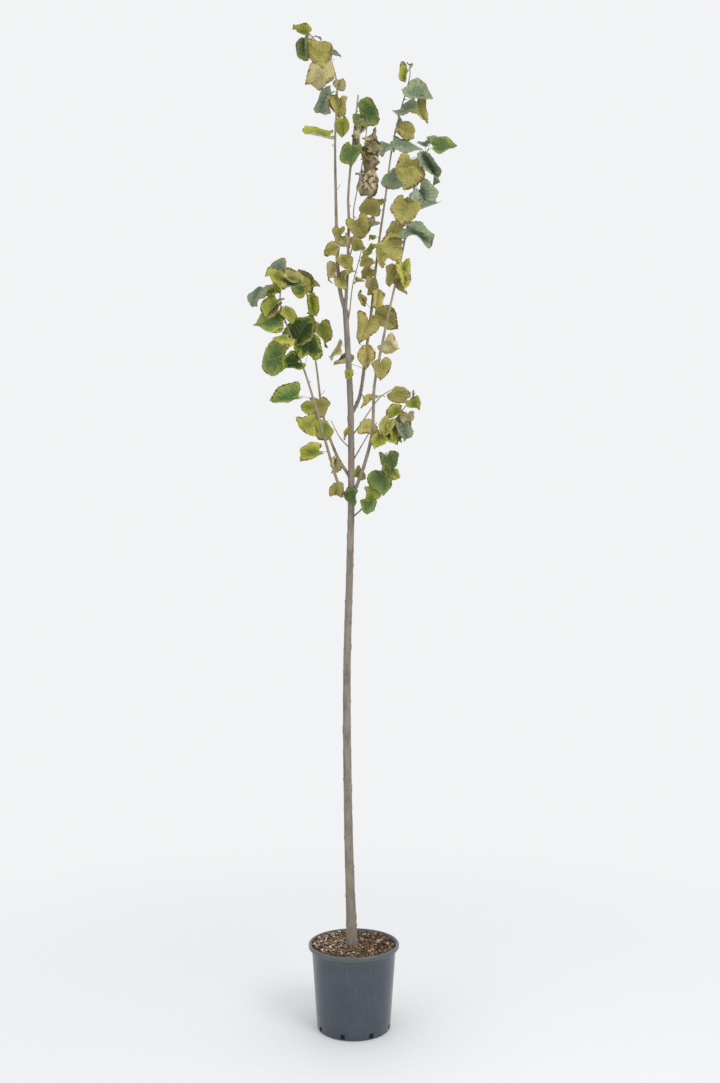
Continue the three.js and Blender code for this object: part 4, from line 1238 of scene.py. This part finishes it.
# In mm: how far from the limb's foot and tip spurs keep, how far apart they lie and what may be added.
SPURS_FROM_FOOT, SPURS_FROM_TIP = 60.0, 30
SPUR_SPACING, SPACING_MORE = 90, 120
SPUR_LENGTH, LENGTH_MORE = 7, 20
SPUR_RADII = [1.5, 1.1, 0.9]
SPUR_BUD = 4.0


def blade_rays(tooth):
    """Places all round a blade's margin, as its smooth line and its toothed edge run, and the share of the
    way from the petiole to the tip."""
    line = Line([(0, 0, 0), *((x, y, 0) for x, y in BLADE_MARGIN + BLADE_TIP)])
    rays = []
    for k in range(HALF_RAYS + 1):
        place, along = line.at(k / HALF_RAYS), line.along(k / HALF_RAYS)
        push = 0 if k in (0, 1, HALF_RAYS) else tooth * (1 if k % 2 else -0.5)
        sharp = place + Vector((along.y, -along.x, 0)) * push + along * max(0, push) * 0.6
        rays.append((place.x, place.y, sharp.x, sharp.y, k / HALF_RAYS))
    return rays + [(-x, y, -sharp_x, sharp_y, step) for x, y, sharp_x, sharp_y, step in rays[-2:0:-1]]


def blade_faces(count):
    """The faces of any blade, above, below and round its rim, with their materials. Each side of the blade
    has a corner in its middle and count corners in every ring."""
    under = 1 + len(RINGS) * count
    faces, slots = [], []
    for middle, slot in ((0, 0), (under, 1)):
        for ring in range(len(RINGS)):
            outer = middle + 1 + ring * count
            inner = outer - count
            for i in range(count):
                k = (i + 1) % count
                face = [inner + i, outer + i, outer + k, inner + k]
                if ring == 0:
                    face = [middle, outer + i, outer + k]
                # Faces below start at the same corner as those above, so that both bend on one diagonal.
                faces.append([face[0], *face[:0:-1]] if slot else face)
                slots.append(slot)
    rim, low = under - count, 2 * under - count
    for i in range(count):
        k = (i + 1) % count
        faces.append([rim + k, rim + i, low + i, low + k])
        slots.append(0)
    return faces, slots


def blade_point(x, y, h, shape):
    """A point of a folded, rolled and bent blade of length 1, as in the solids."""
    reach, side = abs(x), (x > 0) - (x < 0)
    slope = shape["fold"] - shape["roll"] * reach
    middle = shape["fold"] - shape["roll"] * reach / 2
    level = side * (reach * math.cos(middle) - h * math.sin(slope))
    lift = reach * math.sin(middle) + h * (math.cos(slope) if side else 1)
    bend = shape["curl"] * y
    forward = math.sin(bend) / shape["curl"] + lift * math.sin(bend)
    return Vector((level, forward, lift * math.cos(bend) - (1 - math.cos(bend)) / shape["curl"]))


def leaf_pose(leaf, draw):
    """Where a leaf goes, from the same draws as in the solids."""
    bearing = leaf["bearing"] + STRAY["bearing"] * jitter(draw)
    out = heading(bearing, leaf["rise"] + STRAY["rise"] * jitter(draw))
    along = out * (1 - leaf["hang"]) + DOWN * leaf["hang"]
    along += Vector((jitter(draw), jitter(draw), jitter(draw))) * STRAY["along"]
    along.normalize()
    face = leaf.get("face", USUAL["face"]) + STRAY["face"] * jitter(draw)
    top = heading(face, USUAL["tilt"] + STRAY["tilt"] * jitter(draw))
    top -= along * top.dot(along)
    top.normalize()
    length = leaf["blade"] * (1 + STRAY["length"] * jitter(draw))
    shape = {
        "fold": math.radians(leaf.get("fold", USUAL["fold"]) + STRAY["fold"] * jitter(draw)),
        "roll": USUAL["roll"] + STRAY["roll"] * jitter(draw),
        "curl": USUAL["curl"] + STRAY["curl"] * jitter(draw),
    }
    return out, along, top, length, shape


def petiole_places(place, stalk, out, along, steps):
    """A petiole's bent line from the stem to the blade."""
    turn, leave, arrive = PETIOLE["turn"], PETIOLE["leave"], PETIOLE["arrive"]
    base = place + out * stalk * (1 - turn) + along * stalk * turn
    first, second = place + out * stalk * leave, base - along * stalk * arrive
    places = []
    for i in range(steps + 1):
        t = i / steps
        s = 1 - t
        places.append(place * s**3 + first * 3 * s * s * t + second * 3 * s * t * t + base * t**3)
    return places


class Foliage:
    """Heaps for the leaves of each tint, and for all petioles and buds."""

    def __init__(self, settings):
        self.leaves = {tint: Heap() for tint in TINTS}
        self.petioles, self.buds = Heap(), Heap()
        self.rays = blade_rays(settings.tooth)
        self.blade = blade_faces(len(self.rays))
        self.thickness = settings.thickness
        self.count = 0

    def add_leaf(self, node, place, stem, leaf, tint, draw):
        """A leaf on its petiole, with a bud above where it leaves the stem."""
        out, along, top, length, shape = leaf_pose(leaf, draw)
        places = petiole_places(place, leaf["petiole"], out, along, len(PETIOLE_RADII) - 2)
        base = places[-1]
        places.append(base + along * length * PETIOLE_RUN - top * length * self.thickness * 0.4)
        self.petioles.tube(places, PETIOLE_RADII, TUBE_SIDES)
        up = (stem * 0.8 + out * 0.6).normalized()
        size = BUD_SIZE + next(draws_from(self.count + 3))
        add_bud(self.buds, place + out * BUD_OUT + up * BUD_UP, up, size)
        self.add_blade(self.leaves[tint], base, along, top, length, shape, TINTS[tint])
        for heap in (self.petioles, self.buds, self.leaves[tint]):
            heap.nodes.add(node)
        self.count += 1

    def add_blade(self, heap, base, along, top, length, shape, tint):
        """A blade with its ruffled margin, its pillows, and what drying has done to it."""
        own = draws_from(1000 + self.count)
        phase, waves = 2 * math.pi * next(own), 3 + 2 * next(own)
        ruffle = tint["ruffle"] * (0.7 + 0.6 * next(own))
        crumple = tint["crumple"] * (0.6 + 0.8 * next(own))
        twist, cup = tint["twist"] * jitter(own), 2 * tint["crumple"] * jitter(own)
        seat, tone = Vector((next(own), next(own), next(own))) * 90, next(own)
        across = along.cross(top)
        creases = []
        for first, spread in CREASE_BEARINGS:
            bearing = math.radians(first + spread * next(own))
            turn = tint["crease"] * (next(own) * 2 - 1.3)
            start = CREASE_START + CREASE_MORE * next(own)
            creases.append((math.cos(bearing), math.sin(bearing), start, turn))

        def corner(share, ray, lift):
            x, y, sharp_x, sharp_y, step = ray
            if share == 1:
                x, y = sharp_x, sharp_y
            x, y = x * share, CENTRE + (y - CENTRE) * share
            side = 1 if x >= 0 else -1
            wave = ruffle * share**2 * math.sin(phase + side * math.pi * waves * step)
            quilt = QUILT * math.sin(math.pi * share) * math.cos(2 * math.pi * PILLOWS * step)
            drawn = noise.noise_vector(Vector((x * 2, y * 2, 0)) + seat) * crumple * share
            h = wave + quilt + drawn.z + cup * max(0, share - CUP_START) ** 2 + lift
            flat_x, flat_y = x, y
            for level, forward, start, bend in creases:
                beyond = max(0, level * flat_x + forward * (flat_y - CENTRE) - start)
                x -= level * beyond * (1 - math.cos(bend))
                y -= forward * beyond * (1 - math.cos(bend))
                h += beyond * math.sin(bend)
            p = blade_point(x + drawn.x, y + drawn.y, h, shape)
            turn = twist * y
            level = p.x * math.cos(turn) - p.z * math.sin(turn)
            raised = p.x * math.sin(turn) + p.z * math.cos(turn)
            heap.blade.append((flat_x, flat_y, share))
            heap.tone.append(tone)
            return base + (across * level + along * p.y + top * raised) * length

        corners = []
        for lift in (self.thickness / 2, -self.thickness / 2):
            corners.append(corner(0, self.rays[0], lift))
            for share in RINGS:
                corners += [corner(share, ray, lift) for ray in self.rays]
        heap.add(corners, *self.blade)


class LindenLeafSettings(PropertyGroup):
    thickness: FloatProperty(
        name="Thickness", description="Thickness as a share of a blade's length", default=0.01, min=0.002
    )
    tooth: FloatProperty(
        name="Teeth", description="Height as a share of a blade's length", default=0.014, min=0
    )
    petiole_colour: FloatVectorProperty(
        name="Petioles", description="Colour of the petioles", default=linear("#93954f"), subtype="COLOR"
    )
    bud_colour: FloatVectorProperty(
        name="Buds", description="Colour of the bud scales", default=linear("#7a5a41"), subtype="COLOR"
    )


class LINDEN_OT_foliage(Operator):
    """Grows the leafy twigs, the leaves on their petioles and the buds"""

    bl_idname = "linden.foliage"
    bl_label = "Twigs and leaves"

    def execute(self, context):
        settings, looks = context.scene.linden_leaves, context.scene.linden_bark
        # noise_vector starts at a place drawn from this seed, so the leaves come out the same each time.
        noise.seed_set(NOISE_SEED)
        foliage, twigs = Foliage(settings), Heap()
        self.add_leaves(foliage)
        for name in LIMBS:
            if name.startswith("twig"):
                skin_limb(twigs, name, TWIG_SIDES)
                twigs.nodes.add(mass_on(name) or name)
        for limb, seed in SPURS.items():
            self.add_spurs(twigs, foliage.buds, limb, draws_from(seed))
            for heap in (twigs, foliage.buds):
                heap.nodes.add(mass_on(limb) or limb)

        for name, heap in foliage.leaves.items():
            tint = TINTS[name]
            colours, limits = [linear(code) for code in tint["colours"]], tint["limits"]
            vein, vein_below = map(linear, tint["veins"])
            downy = [linear(tint["below"])] * 3 + colours[3:]
            skins = [
                leaf_tissue(f"linden_leaf_{name}", colours, limits, vein, **WAXY),
                leaf_tissue(f"linden_leaf_{name}_underside", downy, limits, vein_below, **DOWNY),
            ]
            heap.finish(f"leaves_{name}", skins, "dried_foliage" if name == "dried" else "foliage", 50)
        petiole = green_rind("petiole_rind", settings.petiole_colour, 0.55)
        foliage.petioles.finish("petioles", [petiole], "foliage", 60)
        foliage.buds.finish("buds", [green_rind("bud_scales", settings.bud_colour, 0.5)], "bark", 60)
        shoot = linden_bark("twig_bark", looks.shoot_colour, shaded(looks.pore_colour, 0.8))
        twigs.finish("twigs", [shoot], "bark", 60)
        return {"FINISHED"}

    def add_leaves(self, foliage):
        """Every leaf of the masses, and then every leaf that stands alone."""
        for name, mass in MASSES.items():
            line, draw = LINES[mass["limb"]], draws_from(mass["seed"])
            for run in mass["runs"]:
                bearings, blades, heights = run["bearings"], run["blade"], run["at"]
                tints = run["tints"].split()
                for i, bearing in enumerate(bearings):
                    step = i / (len(bearings) - 1) if len(bearings) > 1 else 0
                    share = line.share_at(heights[0] + (heights[-1] - heights[0]) * step)
                    leaf = {**run, "bearing": bearing, "blade": blades[0] + (blades[-1] - blades[0]) * step}
                    tint = tints[i % len(tints)]
                    foliage.add_leaf(name, line.at(share), line.along(share), leaf, tint, draw)
        for limb, group in LONE_LEAVES.items():
            line, draw = LINES[limb], draws_from(group["seed"])
            for i, leaf in enumerate(group["leaves"]):
                share = line.share_at(leaf["at"])
                node = f"leaf_{limb}_{i + 1}"
                foliage.add_leaf(node, line.at(share), line.along(share), leaf, leaf["tint"], draw)

    def add_spurs(self, twigs, buds, limb, draw):
        """Short bare side twigs, each ending in a bud."""
        line, reach = LINES[limb], SPURS_FROM_FOOT
        while reach < line.length - SPURS_FROM_TIP:
            share = reach / line.length
            out = heading(360 * next(draw), 25 + 30 * next(draw))
            length = SPUR_LENGTH + LENGTH_MORE * next(draw) ** 2
            start, foot = line.at(share), limb_radius(limb, share)
            bend = (out + line.along(share) * 0.6).normalized()
            elbow = start + out * (foot + length * 0.5)
            tip = elbow + bend * length * 0.5
            twigs.tube([start, elbow, tip], SPUR_RADII, TUBE_SIDES)
            add_bud(buds, tip, bend, SPUR_BUD + next(draw))
            reach += SPUR_SPACING + SPACING_MORE * next(draw)


# Stage. The floor's sizes are in mm, and the rest is in metres.

FLOOR_RADIUS, FLOOR_SIDES = 60000, 96
# The floor's top lies just under the pot, so that no faces share a plane.
FLOOR_TOP = -0.5
FLOOR_THICKNESS = 19.5
# The point that the lamps look at, and for each its place, size and share of the key light's power.
LIT_POINT = Vector((0, 0, 2))
LAMPS = dict(
    key_softbox=dict(place=(2.6, -3.4, 4.2), size=2.4, share=1),
    fill_softbox=dict(place=(-3.2, -3.0, 2.4), size=2.6, share=0.2),
)
CAMERA_PLACE = (0.024, -3.933, 1.598)
# Tilt of the camera from straight down, in degrees.
CAMERA_TILT = 94.089


class LindenStageSettings(PropertyGroup):
    floor_colour: FloatVectorProperty(
        name="Floor", description="Colour of the plain floor", default=linear("#e8e9ea"), subtype="COLOR"
    )
    sky_colour: FloatVectorProperty(
        name="Sky", description="Colour of the soft light", default=linear("#f2f3f4"), subtype="COLOR"
    )
    sky_strength: FloatProperty(name="Sky strength", description="Strength of the soft light", default=1.0)
    fade: FloatProperty(
        name="Fade", description="Distance where the floor ends in the light", default=3.2, unit="LENGTH"
    )
    key_power: FloatProperty(
        name="Key light", description="Power of the large soft lamp", default=100, unit="POWER"
    )
    lens: FloatProperty(name="Lens", description="Focal length in mm for a 36 mm long side", default=32.72)


class LINDEN_OT_stage(Operator):
    """Lays the plain floor and sets the soft light and the camera"""

    bl_idname = "linden.stage"
    bl_label = "Stage"

    def execute(self, context):
        settings, scene = context.scene.linden_stage, context.scene
        levels = (FLOOR_TOP - FLOOR_THICKNESS, FLOOR_TOP)
        floor = turned("floor", [(FLOOR_RADIUS, level) for level in levels], FLOOR_SIDES)
        floor.data.materials.append(matt_floor_paint(settings))

        world = bpy.data.worlds.new("soft_light")
        world.use_nodes = True
        background = world.node_tree.nodes["Background"]
        background.inputs["Color"].default_value = (*settings.sky_colour, 1)
        background.inputs["Strength"].default_value = settings.sky_strength
        scene.world = world
        scene.view_settings.view_transform = "Standard"

        for name, light in LAMPS.items():
            bpy.ops.object.light_add(type="AREA", location=light["place"])
            lamp = context.object
            lamp.name, lamp.data.size = name, light["size"]
            lamp.data.energy = settings.key_power * light["share"]
            lamp.rotation_euler = (LIT_POINT - Vector(light["place"])).to_track_quat("-Z", "Y").to_euler()

        bpy.ops.object.camera_add(location=CAMERA_PLACE, rotation=(math.radians(CAMERA_TILT), 0, 0))
        camera = context.object
        camera.data.sensor_width = 36
        camera.data.lens = settings.lens
        camera.data.clip_end = 200
        scene.camera = camera
        return {"FINISHED"}


class LINDEN_PT_panel(Panel):
    """Lists the pieces of the plant and their settings"""

    bl_label = "Potted Silver Linden"
    bl_idname = "LINDEN_PT_panel"
    bl_space_type = "VIEW_3D"
    bl_region_type = "UI"
    bl_category = "Linden"

    def draw(self, context):
        for operator, _, name in STEPS:
            box = self.layout.box()
            box.operator(operator.bl_idname)
            group = getattr(context.scene, name)
            for key in group.__annotations__:
                box.prop(group, key)


# Each operator with its settings, and the name that the scene keeps them under.
STEPS = [
    (LINDEN_OT_pot, LindenPotSettings, "linden_pot"),
    (LINDEN_OT_substrate, LindenSubstrateSettings, "linden_substrate"),
    (LINDEN_OT_limbs, LindenBarkSettings, "linden_bark"),
    (LINDEN_OT_foliage, LindenLeafSettings, "linden_leaves"),
    (LINDEN_OT_stage, LindenStageSettings, "linden_stage"),
]
CLASSES = [cls for operator, group, _ in STEPS for cls in (group, operator)] + [LINDEN_PT_panel]


def register():
    for cls in CLASSES:
        bpy.utils.register_class(cls)
    for _, group, name in STEPS:
        setattr(bpy.types.Scene, name, PointerProperty(type=group))


def unregister():
    for _, _, name in STEPS:
        delattr(bpy.types.Scene, name)
    for cls in reversed(CLASSES):
        bpy.utils.unregister_class(cls)


def main():
    register()
    bpy.ops.linden.pot()
    bpy.ops.linden.substrate()
    bpy.ops.linden.limbs()
    bpy.ops.linden.foliage()
    bpy.ops.linden.stage()


if __name__ == "__main__":
    main()
